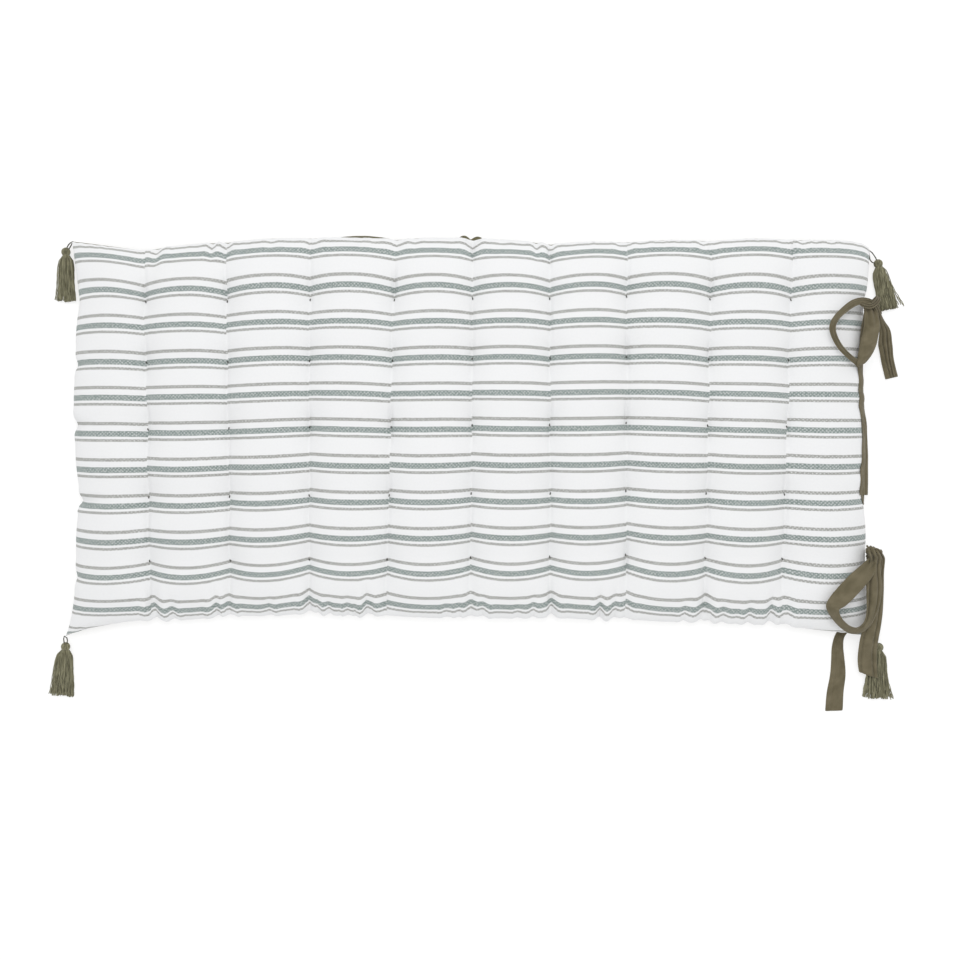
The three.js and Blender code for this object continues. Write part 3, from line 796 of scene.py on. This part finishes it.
skin = bmesh.new()
skin.from_mesh(mattress.data)
column_of, row_of = skin.verts.layers.float["column"], skin.verts.layers.float["row"]
front_of = skin.verts.layers.float["front"]
tuft_spots = []
for vert in skin.verts:
    column, row = vert[column_of], vert[row_of]
    spot = vert.co * 1000
    if vert[front_of] < 0.9:
        if min(seam_distances(column, row)) < BACK_REACH:
            vert.co += pleat_move(spot, column, row) * Vector((1, 1, 0)) * BACK_FOLLOWS * MM
        vert.co.y += lip_out(spot.x, seam_distances(column, row)[0]) * MM
        continue
    move = pleat_move(spot, column, row)
    lump = noise.noise(Vector((spot.x / LUMP_LENGTH, spot.y / LUMP_WIDTH, 4.0)))
    move.z += LUMP_HEIGHT * lump - crease_fall(column, row)
    vert.co += move * MM
    if is_tuft(column, row):
        tuft_spots.append(vert.co.copy())
for face in skin.faces:
    face.smooth = True
skin.to_mesh(mattress.data)
skin.free()
print("Mattress faces:", len(mattress.data.polygons), "tufts found:", len(tuft_spots))


# %% Tie the mattress to the frame
def finish_piece(piece, cad_node):
    """Moves a piece to its place in the part and ties it to the frame."""
    piece.data.transform(Matrix.Translation(PLACE))
    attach(piece, "root")
    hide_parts(cad_node)


finish_piece(mattress, "mattress")
print(mattress.name, "rides the root")

# %% [markdown]
# ## Tuft stitches
#
# Each tuft is held by a short stitch of thread; its near-black colour is partly the thread's own and partly
# painted shade of the hole at the tuft. A stitch is a bent tube: a curve with a round bevel makes all of them
# in one go, and turning the curve into a mesh leaves plain geometry behind.

# %% Threads from curves
FUZZ_HEIGHT = 0.0003


def threads_mesh(name, paths, radius, sides, material):
    """One mesh of round threads that follow the paths, each a list of points in millimetres."""
    curve = bpy.data.curves.new(name, "CURVE")
    curve.dimensions = "3D"
    curve.bevel_depth = radius * MM
    curve.bevel_resolution = sides
    curve.use_fill_caps = True
    for path in paths:
        spline = curve.splines.new("POLY")
        spline.points.add(len(path) - 1)
        for point, place in zip(spline.points, path):
            point.co = (*(Vector(place) * MM), 1)
    strand = bpy.data.objects.new(name, curve)
    mesh = bpy.data.meshes.new_from_object(strand)
    bpy.data.objects.remove(strand)
    mesh.materials.clear()
    mesh.materials.append(material)
    for polygon in mesh.polygons:
        polygon.use_smooth = True
    return mesh


def widen(tree, tones):
    """Spreads the middle of a noise over all of 0 to 1."""
    return node(tree, "ShaderNodeMapRange", [(0, tones), (1, 0.3), (2, 0.7)]).outputs[0]


def yarn_material(name, dark, light, streak):
    """Yarn: fine streaks of two tones that run along the threads; in the tassels the dark streaks are partly
    painted shade of the gaps between clumps.
    """
    material, tree, shader = new_material(name, 0.9, sheen=0.2)
    place = node(tree, "ShaderNodeTexCoord").outputs["Object"]
    turned = node(tree, "ShaderNodeMapping", [("Vector", place), ("Scale", streak)]).outputs[0]
    tones = widen(tree, speckle(tree, turned, 1.0, 3.0))
    tree.links.new(blend_colours(tree, tones, dark, light), shader.inputs["Base Color"])
    fuzz = speckle(tree, place, 2600.0, 2.0)
    bump = node(tree, "ShaderNodeBump", [("Height", fuzz), ("Strength", 0.5), ("Distance", FUZZ_HEIGHT)])
    tree.links.new(bump.outputs[0], shader.inputs["Normal"])
    return material


# The near-black of the stitch thread is partly the thread's own colour and partly painted shade of the hole
# at each tuft.
tuft_thread_and_hole_shade = yarn_material("tuft_thread_and_hole_shade", (0.02, 0.02, 0.014, 1), (0.045, 0.042, 0.03, 1), (900, 900, 900))
print("Thread material:", tuft_thread_and_hole_shade.name)

# %% Sew the tufts
STITCH_RADIUS, STITCH_SLIP = 0.85, 0.6
# Along the stitch, and up from the cloth
STITCH_PROFILE = [(-1.7, -1.2), (-1.1, 0.5), (0, 1), (1.1, 0.5), (1.7, -1.2)]

random.seed(7)
stitches = []
for spot in tuft_spots:
    lean = random.uniform(-0.5, 0.5)
    across = Vector((math.sin(lean), math.cos(lean), 0))
    slip = [random.uniform(-STITCH_SLIP, STITCH_SLIP) for _ in range(2)]
    middle = spot * 1000 + Vector((*slip, 0.2))
    stitches.append([middle + across * out + Vector((0, 0, up)) for out, up in STITCH_PROFILE])
stitch_mesh = threads_mesh("tuft_stitches", stitches, STITCH_RADIUS, 1, tuft_thread_and_hole_shade)
tuft_stitches = bpy.data.objects.new("tuft_stitches", stitch_mesh)
scene.collection.objects.link(tuft_stitches)
finish_piece(tuft_stitches, "mattress")
print("Stitches:", len(stitches))

# %% [markdown]
# ## Tassels
#
# A tassel is a bundle of yarn folded over a cord, bound below the fold and cut level. Each thread is laid
# on its own: over the head, under the binding and down the skirt, with a little wander so that no two
# are alike. A solid cone with a bump would show its outline at once.

# %% Yarn for tassels
# The tassel yarn's dark streaks are partly the yarn's own tone and partly painted shade of the gaps between
# its clumps.
tassel_yarn = yarn_material("tassel_yarn", (0.085, 0.079, 0.043, 1), (0.31, 0.296, 0.19, 1), (480, 60, 480))
loop_cord = yarn_material("loop_cord", (0.045, 0.045, 0.03, 1), (0.1, 0.095, 0.065, 1), (800, 800, 800))
print("Yarn materials:", tassel_yarn.name, loop_cord.name)

# %% Sizes of the tassels, in millimetres
HEAD_RADIUS, THREAD_RADIUS, CORD_RADIUS = 6.9, 0.62, 0.9
SKIRT_THREADS, SKIRT_STEPS, CLUMPS = 156, 18, 13
# Share of the length, share of the spread, height of the middle
SKIRT_SECTIONS = [(0.07, 0.28, 5.2), (0.12, 0.44, 5.4), (0.18, 0.64, 5.4), (0.32, 0.74, 5.2), (0.5, 0.8, 5),
                  (0.7, 0.88, 4.8), (0.86, 0.95, 4.6), (1, 1, 4.4)]
# Each tassel: its head, its turn from the straight line to the front, its skirt, how far its cord bows out,
# its stray threads, and where the cord goes into the seam
TASSELS = {
    "back_left": dict(x=-615, y=270, turn=0, length=77, spread=17, bow=1.5, stray=0,
                      ends=((-605.5, 282.5), (-602.5, 284.5))),
    "front_left": dict(x=-615.5, y=-332, turn=-5, length=77, spread=18, bow=1.5, stray=0,
                       ends=((-615, -315), (-611, -317.5))),
    "back_right": dict(x=624, y=252, turn=13, length=73, spread=15, bow=2, stray=7,
                       ends=((607, 272), (609, 257))),
    "front_right": dict(x=625, y=-333, turn=-2, length=80, spread=20, bow=3, stray=8,
                        ends=((601, -315), (605, -313))),
}
print("Tassels:", ", ".join(TASSELS))

# %% Threads of the skirt
# The angle that spreads points evenly over a disc
GOLDEN_ANGLE = 2.39996
# How much shorter a clump can be, and how far it drifts aside
CLUMP_SHORT, CLUMP_DRIFT = 4.5, 1.1
# How far a thread strays from its clump, as shares of the spread, and how unevenly it is cut
ASIDE_SCATTER, UP_SCATTER, CUT_UNEVEN = 0.26, 0.3, 1.5
# A slow sway that the threads of a clump share, the crimp of each thread, and how fast both turn
SWAY, SWAY_RATE, CRIMP, CRIMP_RATE = 0.9, 8, 0.45, 36


def skirt_at(along):
    """Spread and height of the skirt at a share of its length."""
    for start, end in zip(SKIRT_SECTIONS, SKIRT_SECTIONS[1:]):
        if along <= end[0]:
            share = (along - start[0]) / (end[0] - start[0])
            return lerp(start[1], end[1], share), lerp(start[2], end[2], share)
    return SKIRT_SECTIONS[-1][1:]


def skirt_paths(tassel):
    """Threads of the skirt, hanging along -Y from a head at the origin, on the floor."""
    clumps = []
    for number in range(CLUMPS):
        share, angle = math.sqrt((number + 0.5) / CLUMPS), number * GOLDEN_ANGLE + 0.4
        clumps.append((share * math.cos(angle), share * math.sin(angle), random.uniform(0, 2 * math.pi),
                       random.uniform(0, CLUMP_SHORT), random.gauss(0, CLUMP_DRIFT)))
    paths = []
    for number in range(SKIRT_THREADS + tassel["stray"]):
        stray = number >= SKIRT_THREADS
        aside, up, phase, short, drift = clumps[number % CLUMPS]
        aside += random.uniform(-ASIDE_SCATTER, ASIDE_SCATTER)
        up = min(max(up + random.uniform(-UP_SCATTER, UP_SCATTER), -1), 1)
        if stray:
            aside, drift = random.uniform(0.5, 1), random.uniform(3, 12)
        reach = tassel["length"] - short - random.uniform(0, CUT_UNEVEN)
        path = []
        for step in range(SKIRT_STEPS + 1):
            along = lerp(SKIRT_SECTIONS[0][0], 1, step / SKIRT_STEPS)
            spread, height = skirt_at(along)
            sway = SWAY * along * math.sin(phase + SWAY_RATE * along)
            wave = sway + CRIMP * along * math.sin(1.7 * number + CRIMP_RATE * along)
            x = aside * tassel["spread"] * spread + wave + drift * along ** 2
            z = height + (height - THREAD_RADIUS) * up * 0.96
            path.append((x, -along * reach, max(z + 0.4 * wave, THREAD_RADIUS)))
        paths.append(path)
    return paths


print("Threads in a skirt:", SKIRT_THREADS)

# %% Threads of the head and its binding
HEAD_THREADS, HEAD_STEPS = 30, 7
# Where a thread starts and how far it goes, as shares of the way from the top of the head to its bottom
HEAD_START, HEAD_SPAN = 0.06, 0.76
BINDING_TURNS, BINDING_STEPS = 5, 16
BINDING_PLACE, BINDING_PITCH, BINDING_SLANT = 5.6, 0.8, 0.3
BINDING_HALF_WIDTH, BINDING_HALF_HEIGHT, BINDING_MIDDLE = 4.9, 4.5, 5.8


def head_paths():
    """Threads over the round head, and the turns of the binding below it."""
    paths = []
    radius = HEAD_RADIUS - THREAD_RADIUS
    for number in range(HEAD_THREADS):
        angle = 2 * math.pi * number / HEAD_THREADS
        path = []
        for step in range(HEAD_STEPS + 1):
            fall = math.pi * (HEAD_START + HEAD_SPAN * step / HEAD_STEPS)
            ring = radius * math.sin(fall)
            path.append((ring * math.cos(angle), radius * math.cos(fall),
                         HEAD_RADIUS + ring * math.sin(angle)))
        paths.append(path)
    for turn in range(BINDING_TURNS):
        path = []
        for step in range(BINDING_STEPS + 1):
            angle = 2 * math.pi * step / BINDING_STEPS
            down = BINDING_PLACE + turn * BINDING_PITCH + BINDING_SLANT * step / BINDING_STEPS
            path.append((BINDING_HALF_WIDTH * math.cos(angle), -down,
                         BINDING_MIDDLE + BINDING_HALF_HEIGHT * math.sin(angle)))
        paths.append(path)
    return paths


print("Threads in a head:", len(head_paths()))


# %% Make the four tassels
def loop_path(tassel):
    """The cord from the head to the seam at the corner and back."""
    head = Vector((tassel["x"], tassel["y"], HEAD_RADIUS))
    first, second = (Vector((*end, SEAM_HEIGHT - CORNER_DROP)) for end in tassel["ends"])
    way = (first + second) / 2 - head
    bow = Vector((-way.y, way.x, 0)).normalized() * tassel["bow"]
    if (first - second).dot(bow) < 0:
        bow.negate()
    return [head, head.lerp(first, 0.35) + bow, head.lerp(first, 0.7) + bow, first, second,
            head.lerp(second, 0.7) - bow, head.lerp(second, 0.35) - bow, head]


for corner, tassel in TASSELS.items():
    random.seed(corner)
    yarn = threads_mesh("yarn", skirt_paths(tassel) + head_paths(), THREAD_RADIUS, 1, tassel_yarn)
    yarn.transform(Matrix.Translation(Vector((tassel["x"], tassel["y"], 0)) * MM)
                   @ Matrix.Rotation(math.radians(tassel["turn"]), 4, "Z"))
    cord = threads_mesh("cord", [loop_path(tassel)], CORD_RADIUS, 2, loop_cord)
    bundle = bmesh.new()
    bundle.from_mesh(yarn)
    yarn_faces = len(bundle.faces)
    bundle.from_mesh(cord)
    bundle.faces.ensure_lookup_table()
    for face in bundle.faces[yarn_faces:]:
        face.material_index = 1
    piece = new_piece("yarn_tassel_" + corner, bundle, [tassel_yarn, loop_cord])
    finish_piece(piece, "tassel_" + corner)
    print(piece.name, len(piece.data.polygons), "faces")

# %% [markdown]
# ## Tape ties
#
# Each tie is a folded cotton tape: knotted by the seam, with one loop and two free ends. A ribbon is a
# grid whose rows follow a route. Each row has a place, a width, a turn, a tilt and a rise in its middle;
# the rows are the same that shape the solids, with softer steps between them. A used tape is never flat,
# so each run also has a few lengthwise folds, pressed in as narrow furrows.

# %% Tape
DARK_TAPE, LIGHT_TAPE = (0.116, 0.099, 0.058, 1), (0.172, 0.147, 0.092, 1)
TAPE_WEAVE_PITCH = 1.1

tape_cotton, tree, shader = new_material("tape_cotton", 0.88, sheen=0.15)
flat, along, across = cloth_coordinates(tree)
clouds = widen(tree, speckle(tree, flat, 70.0, 5.0))
tree.links.new(blend_colours(tree, clouds, DARK_TAPE, LIGHT_TAPE), shader.inputs["Base Color"])
add_weave_bump(tree, shader, along, across, flat, TAPE_WEAVE_PITCH, 0.5)
print("Tape material:", tape_cotton.name)

# %% Rows of the back tie: x, y, z, width, turn, tilt, rise
BACK_LOOP = [
    (599, 184, 47, 16, 0, 0, 2), (601.5, 159, 51, 24.5, 0, -8, 1), (600.5, 146, 52, 25, 4, -8, 1),
    (597.5, 131, 53, 26, 8, -8, 1), (594.5, 120, 54, 26, 12, -6, 1), (591, 108, 54, 24, 16, -6, 1),
    (587.5, 98, 53, 19, 24, -6, 0.5), (585.5, 93.5, 50, 13, 34, 4, 0), (579, 98, 51, 9, 45, 24, 0.6),
    (567, 105, 57, 9, 48, 48, 0.8), (552, 118, 62, 9.5, 38, 50, 0.8), (542, 133, 66, 10, 18, 50, 0.8),
    (538, 148, 67, 11, -6, 48, 0.8), (544, 162, 66, 12, -36, 50, 0.8), (560, 177, 61, 12.5, -58, 42, 0.8),
    (573, 185.5, 58, 12, -72, 30, 0.6), (586.5, 189, 57, 10, -86, 16, 0.4), (598.4, 186, 57, 9, -106, 0, 0),
    (607.5, 179, 53, 9, -130, -16, 0), (614, 168.5, 45, 9, -150, -24, 0),
]
BACK_TWIST = [
    (579, 188, 55, 5, 100, 20, 0), (588, 182.5, 58, 8, 80, 10, 0.6), (596, 180.5, 59.5, 8, 92, 0, 0.6),
    (604, 185, 58, 8, 120, 0, 0.6), (610, 192, 53, 7, 140, 0, 0.4), (611, 195, 46, 6, 146, 0, 0),
    (607, 191, 41, 5, 146, 0, 0), (602, 186, 44, 5, 140, 0, 0),
]
BACK_LONG_END = [
    (597, 180, 41, 12, 0, -40, 0), (592.5, 148, 38, 16, 0, -50, 0), (591.5, 118, 32, 18, 0, -55, 0.5),
    (591.2, 88, 27, 20, 0, -52, 0.5), (592, 58, 26.5, 20, 0, -53, 0.5), (591.8, 40, 26, 20, 0, -44, 0.5),
    (593.6, 22, 25, 20, 0, -42, 0.5), (598.3, 7, 23, 20, 0, -51, 0.5), (598.8, -7, 22, 20, 0, -49, 0.5),
    (597.6, -30, 25, 20, 0, -42, 0.5), (596.4, -60, 26, 20.5, 0, -34, 0.5),
    (595.8, -101, 26, 20.5, 0, -30, 0.5),
]
BACK_FOLDED_END = [
    (595.8, -88, 24, 14, 0, -56, 0), (595.6, -106, 24, 12, 8, -56, 0), (595.5, -115, 23, 8, 20, -56, 0),
]
BACK_SHORT_END = [
    (608, 181, 46, 8, 30, -10, 1), (616, 171, 36, 8, 30, -20, 1.5), (623, 161, 25, 12, 28, -18, 2),
    (630.5, 150, 16, 18, 25, -12, 3), (633, 141, 11, 21.5, 22, -6, 3), (634.3, 132, 8, 22, 18, 0, 3),
    (636.2, 123, 6, 21.5, 16, 0, 3), (637.8, 113, 4.6, 20, 13, 0, 2.8), (639.6, 103, 3.8, 19.5, 12, 0, 2.6),
    (642.5, 91, 3.2, 19.5, 11, 0, 2.4), (646, 78, 2.8, 20, 13, 0, 2.2),
]
BACK_ROOT = [(602, 186, 42, 12, 90, 0, 0), (600, 186, 32, 14, 90, 0, 0), (597.5, 186, 22, 16, 90, 0, 0)]
print("Rows of the back loop:", len(BACK_LOOP))

# %% Rows of the front tie: x, y, z, width, turn, tilt, rise
FRONT_LOOP = [
    (607, -194, 48, 12, -42, 6, 2), (594.5, -212, 51, 23, -42, 10, 1), (576.5, -229, 56, 27.5, -42, 10, 1),
    (558, -247, 60.5, 27.5, -38, 12, 1), (546.5, -258.5, 62, 25.5, -30, 18, 1),
    (540, -266, 63, 22, -12, 32, 0.6), (541, -274, 62, 18, 14, 42, 0.6), (549, -286, 57, 15, 44, 46, 0.8),
    (560, -296, 51, 14, 62, 44, 1), (570, -302, 45.5, 14, 76, 40, 1), (582, -304, 41, 14, 98, 38, 1),
    (592.5, -299, 40, 15, 126, 34, 1), (600.2, -288, 41, 18, 146, 30, 1), (604.6, -271, 43, 22.5, 162, 22, 1),
    (606.2, -254, 45, 24.5, 174, 14, 2), (606.2, -234, 47, 24.5, 180, 8, 2), (605, -216, 49, 20, 182, 2, 2),
    (606, -203, 51, 16, 180, 0, 1.5),
    (606, -194, 55, 16, 178, 0, 1.5), (603, -187, 57.5, 17, 172, 0, 1.2), (600.5, -180.5, 55, 15, 166, 0, 1),
    (599.5, -177.5, 48, 12, 165, 0, 0), (601, -180, 41, 10, 165, 0, 0),
]
FRONT_RIGHT_END = [
    (600, -183, 53, 9, 90, 0, 0.5), (607.5, -184.5, 55, 10, 62, -4, 1), (612.5, -191.5, 52, 12, 38, -14, 1),
    (616, -198, 47, 14, 14, -22, 1), (615.5, -216, 39, 19, 0, -24, 2), (614.5, -246, 35, 23, 0, -20, 1),
    (612, -276, 32, 25.5, -6, -12, 1), (607.8, -301, 30, 27, -8, -6, 1), (604.3, -320, 27, 28, -4, 0, 1),
    (603.8, -340, 20, 28.5, 0, 0, 1), (605, -358, 15.5, 29.5, -8, 0, 1), (607.3, -375, 13.5, 30, -19, 0, 1),
]
FRONT_LEFT_END = [
    (613, -195, 40, 9, 0, 0, 0), (615, -208, 24, 9, 0, 0, 0), (612, -224, 9, 9, -10, 0, 0),
    (605, -246, 2.4, 10, -18, 0, 0), (602, -268, 1.6, 12, -25, 0, 0), (592, -288, 1.6, 14, -38, 0, 0),
    (577, -303, 1.6, 14, -36, 0, 0), (567, -316, 1.6, 14.5, -14, 0, 0.4), (563.5, -333, 1.6, 17.5, 0, 0, 0.6),
    (564, -353, 1.6, 20.5, 0, 0, 0.6), (564, -376, 1.6, 24, 2, 0, 0.6), (560, -402, 1.6, 26, 4, 0, 0.6),
    (558, -431, 1.6, 27, 2, 0, 0.6),
]
FRONT_FLAP = [
    (606, -185, 55, 12, -88, 0, 1), (599, -183.5, 54, 10, -94, 0, 1), (592.5, -181.5, 49, 3, -100, 0, 0),
]
FRONT_ROOT = [(608, -190, 42, 12, 90, 0, 0), (604.5, -190, 32, 14, 90, 0, 0), (601, -190, 22, 16, 90, 0, 0)]
print("Rows of the front loop:", len(FRONT_LOOP))

# %% Runs of the two ties
# Each run: its rows, whether it rests on the mattress, and its lengthwise folds. A fold has its side at
# the start and at the end, its depth, its half width as a share of the tape, and where along it begins.
TIES = {
    "tie_back": dict(knot=(601, 184, 47), size=(17, 14, 13), runs=[
        (BACK_LOOP, False, [(0.14, 0.05, 5.5, 0.12, 0.36), (-0.36, -1, 3, 0.1, 0)]),
        (BACK_TWIST, False, []),
        (BACK_LONG_END, True, [(0.1, 0.2, 2.4, 0.08, 0), (-0.25, -0.2, 1.5, 0.08, 0)]),
        (BACK_FOLDED_END, True, []),
        (BACK_SHORT_END, False, [(0.1, 0.12, 6, 0.08, 0), (-0.3, -0.1, 4, 0.08, 0), (0.38, 0.3, 3, 0.07, 0)]),
        (BACK_ROOT, False, []),
    ]),
    "tie_front": dict(knot=(608, -188, 46), size=(22, 16, 15), runs=[
        (FRONT_LOOP, False, [(0.25, 0.28, 6, 0.11, 0.42), (-0.3, -0.2, 3.5, 0.07, 0.5)]),
        (FRONT_RIGHT_END, False, [(0.15, 0.3, 3.4, 0.07, 0), (-0.2, -0.34, 2.4, 0.07, 0)]),
        (FRONT_LEFT_END, False, [(0.1, -0.2, 1.2, 0.07, 0.5)]),
        (FRONT_FLAP, False, []),
        (FRONT_ROOT, False, []),
    ]),
}
print("Tape runs:", sum(len(tie["runs"]) for tie in TIES.values()))

# %% Route and folds of a ribbon
EDGE_CURL, WRINKLE, WRINKLE_LENGTH = 0.9, 0.8, 17
# How fast a fold that begins part of the way along grows to its full depth
FOLD_GROWTH = 8


def row_between(rows, share):
    """A row between two given ones, on a smooth curve through them."""
    spans = len(rows) - 1
    span = min(int(share * spans), spans - 1)
    t = share * spans - span
    before, first = rows[max(span - 1, 0)], rows[span]
    second, after = rows[span + 1], rows[min(span + 2, spans)]
    return [0.5 * (2 * b + (c - a) * t + (2 * a - 5 * b + 4 * c - d) * t ** 2
                   + (3 * b - a - 3 * c + d) * t ** 3)
            for a, b, c, d in zip(before, first, second, after)]


def spot_at(rows, share):
    return Vector(row_between(rows, min(max(share, 0), 1))[:3])


def lift_at(side, share, length, folds):
    """How far folds and wrinkles raise the tape at a place on it, in millimetres."""
    lift = WRINKLE * noise.noise(Vector((side * 2.2, share * length / WRINKLE_LENGTH, length)))
    lift -= EDGE_CURL * (2 * abs(side)) ** 4
    for start, end, depth, half_width, begins in folds:
        grown = min(1, max(0, share - begins) * FOLD_GROWTH + (begins == 0))
        lift -= grown * depth * max(0, 1 - abs(side - lerp(start, end, share)) / half_width)
    return lift


print("Middle of the back loop:", [round(value) for value in spot_at(BACK_LOOP, 0.5)], "mm")

# %% Lay a ribbon through its rows
TAPE_WIDTH = 24
STEPS_PER_ROW, TAPE_SEGMENTS = 4, 24
# The knot gathers the tape into folds, which fade with the distance from it
FOLDS_AT_KNOT, FOLD_DEPTH, FOLD_REACH = 2.5, 3.2, 20
LOOK_AHEAD = 0.01


def lay_ribbon(rows, rests, folds, knot):
    """A ribbon surface through its rows; returns its bmesh and its length."""
    ribbon = bmesh.new()
    resting = ribbon.verts.layers.deform.new()
    steps = (len(rows) - 1) * STEPS_PER_ROW
    bmesh.ops.create_grid(ribbon, x_segments=TAPE_SEGMENTS, y_segments=steps, size=0.5)
    uv = ribbon.loops.layers.uv.new("cloth")
    length = sum((Vector(b[:3]) - Vector(a[:3])).length for a, b in zip(rows, rows[1:]))
    for face in ribbon.faces:
        face.smooth = True
        for loop in face.loops:
            loop[uv].uv = (loop.vert.co.x * TAPE_WIDTH * MM, loop.vert.co.y * length * MM)
    for vert in ribbon.verts:
        side, share = vert.co.x, 0.5 - vert.co.y
        x, y, z, width, turn, tilt, rise = row_between(rows, share)
        turn, tilt = math.radians(turn), math.radians(tilt)
        ahead = spot_at(rows, share + LOOK_AHEAD) - spot_at(rows, share - LOOK_AHEAD)
        across = Vector((math.cos(tilt) * math.cos(turn), math.cos(tilt) * math.sin(turn), math.sin(tilt)))
        proud = ahead.cross(across).normalized()
        spot = Vector((x, y, z))
        gather = math.exp(-(spot - knot).length / FOLD_REACH)
        lift = rise * (1 - 4 * side ** 2) + FOLD_DEPTH * gather * math.cos(2 * math.pi * FOLDS_AT_KNOT * side)
        lift += lift_at(side, share, length, folds) * min(1, width / TAPE_WIDTH)
        vert.co = (spot + across * side * width + proud * lift) * MM
        vert[resting][0] = float(rests)
    return ribbon, length


print("Tape:", TAPE_WIDTH, "mm wide,", TAPE_SEGMENTS, "squares across")

# %% [markdown]
# A knot is the tape itself, wrapped over and under. The runs above already cross there; a small soft core
# fills the dark between them. Where a run would sink into the mattress it is pushed out to the surface:
# Shrinkwrap in its Outside mode moves only the points that are inside.

# %% Thickness and knot
REST_GAP, TAPE_THICKNESS = 1.2, 1.1
KNOT_LUMPS, LUMPS_PER_METRE = 0.25, 260


def thicken(piece):
    """Keeps the tape out of the mattress, gives it thickness and rounds it."""
    rest = piece.modifiers.new("rest", "SHRINKWRAP")
    rest.target = mattress
    rest.vertex_group = "rests"
    rest.wrap_mode = "OUTSIDE"
    rest.offset = REST_GAP * MM
    wall = piece.modifiers.new("layers", "SOLIDIFY")
    wall.thickness = TAPE_THICKNESS * MM
    wall.offset = 0
    soft = piece.modifiers.new("soft", "SUBSURF")
    soft.levels = soft.render_levels = 1
    keep_result(piece)


def knot_core(knot, size):
    core = bmesh.new()
    core.loops.layers.uv.new("cloth")
    bmesh.ops.create_icosphere(core, subdivisions=3, radius=0.5 * MM, calc_uvs=True)
    bmesh.ops.scale(core, vec=size, verts=core.verts[:])
    for vert in core.verts:
        vert.co *= 1 + KNOT_LUMPS * noise.noise(vert.co * LUMPS_PER_METRE)
    bmesh.ops.translate(core, vec=knot * MM, verts=core.verts[:])
    for face in core.faces:
        face.smooth = True
    return core


def add_mesh(whole, part):
    """Joins one bmesh to another, by way of a mesh."""
    carrier = bpy.data.meshes.new("run")
    part.to_mesh(carrier)
    part.free()
    whole.from_mesh(carrier)


print("The tape is", TAPE_THICKNESS, "mm thick and rests", REST_GAP, "mm off the mattress")

# %% Make the two ties
for name, tie in TIES.items():
    knot = Vector(tie["knot"])
    whole = bmesh.new()
    for rows, rests, folds in tie["runs"]:
        ribbon, length = lay_ribbon(rows, rests, folds, knot)
        add_mesh(whole, ribbon)
    bmesh.ops.translate(whole, vec=PLACE, verts=whole.verts[:])
    tape = new_piece(name.replace("tie", "tape_tie"), whole, [tape_cotton])
    tape.vertex_groups.new(name="rests")
    thicken(tape)
    tape.data.transform(Matrix.Translation(-PLACE))
    joined = bmesh.new()
    joined.from_mesh(tape.data)
    add_mesh(joined, knot_core(knot, tie["size"]))
    joined.to_mesh(tape.data)
    joined.free()
    finish_piece(tape, name)
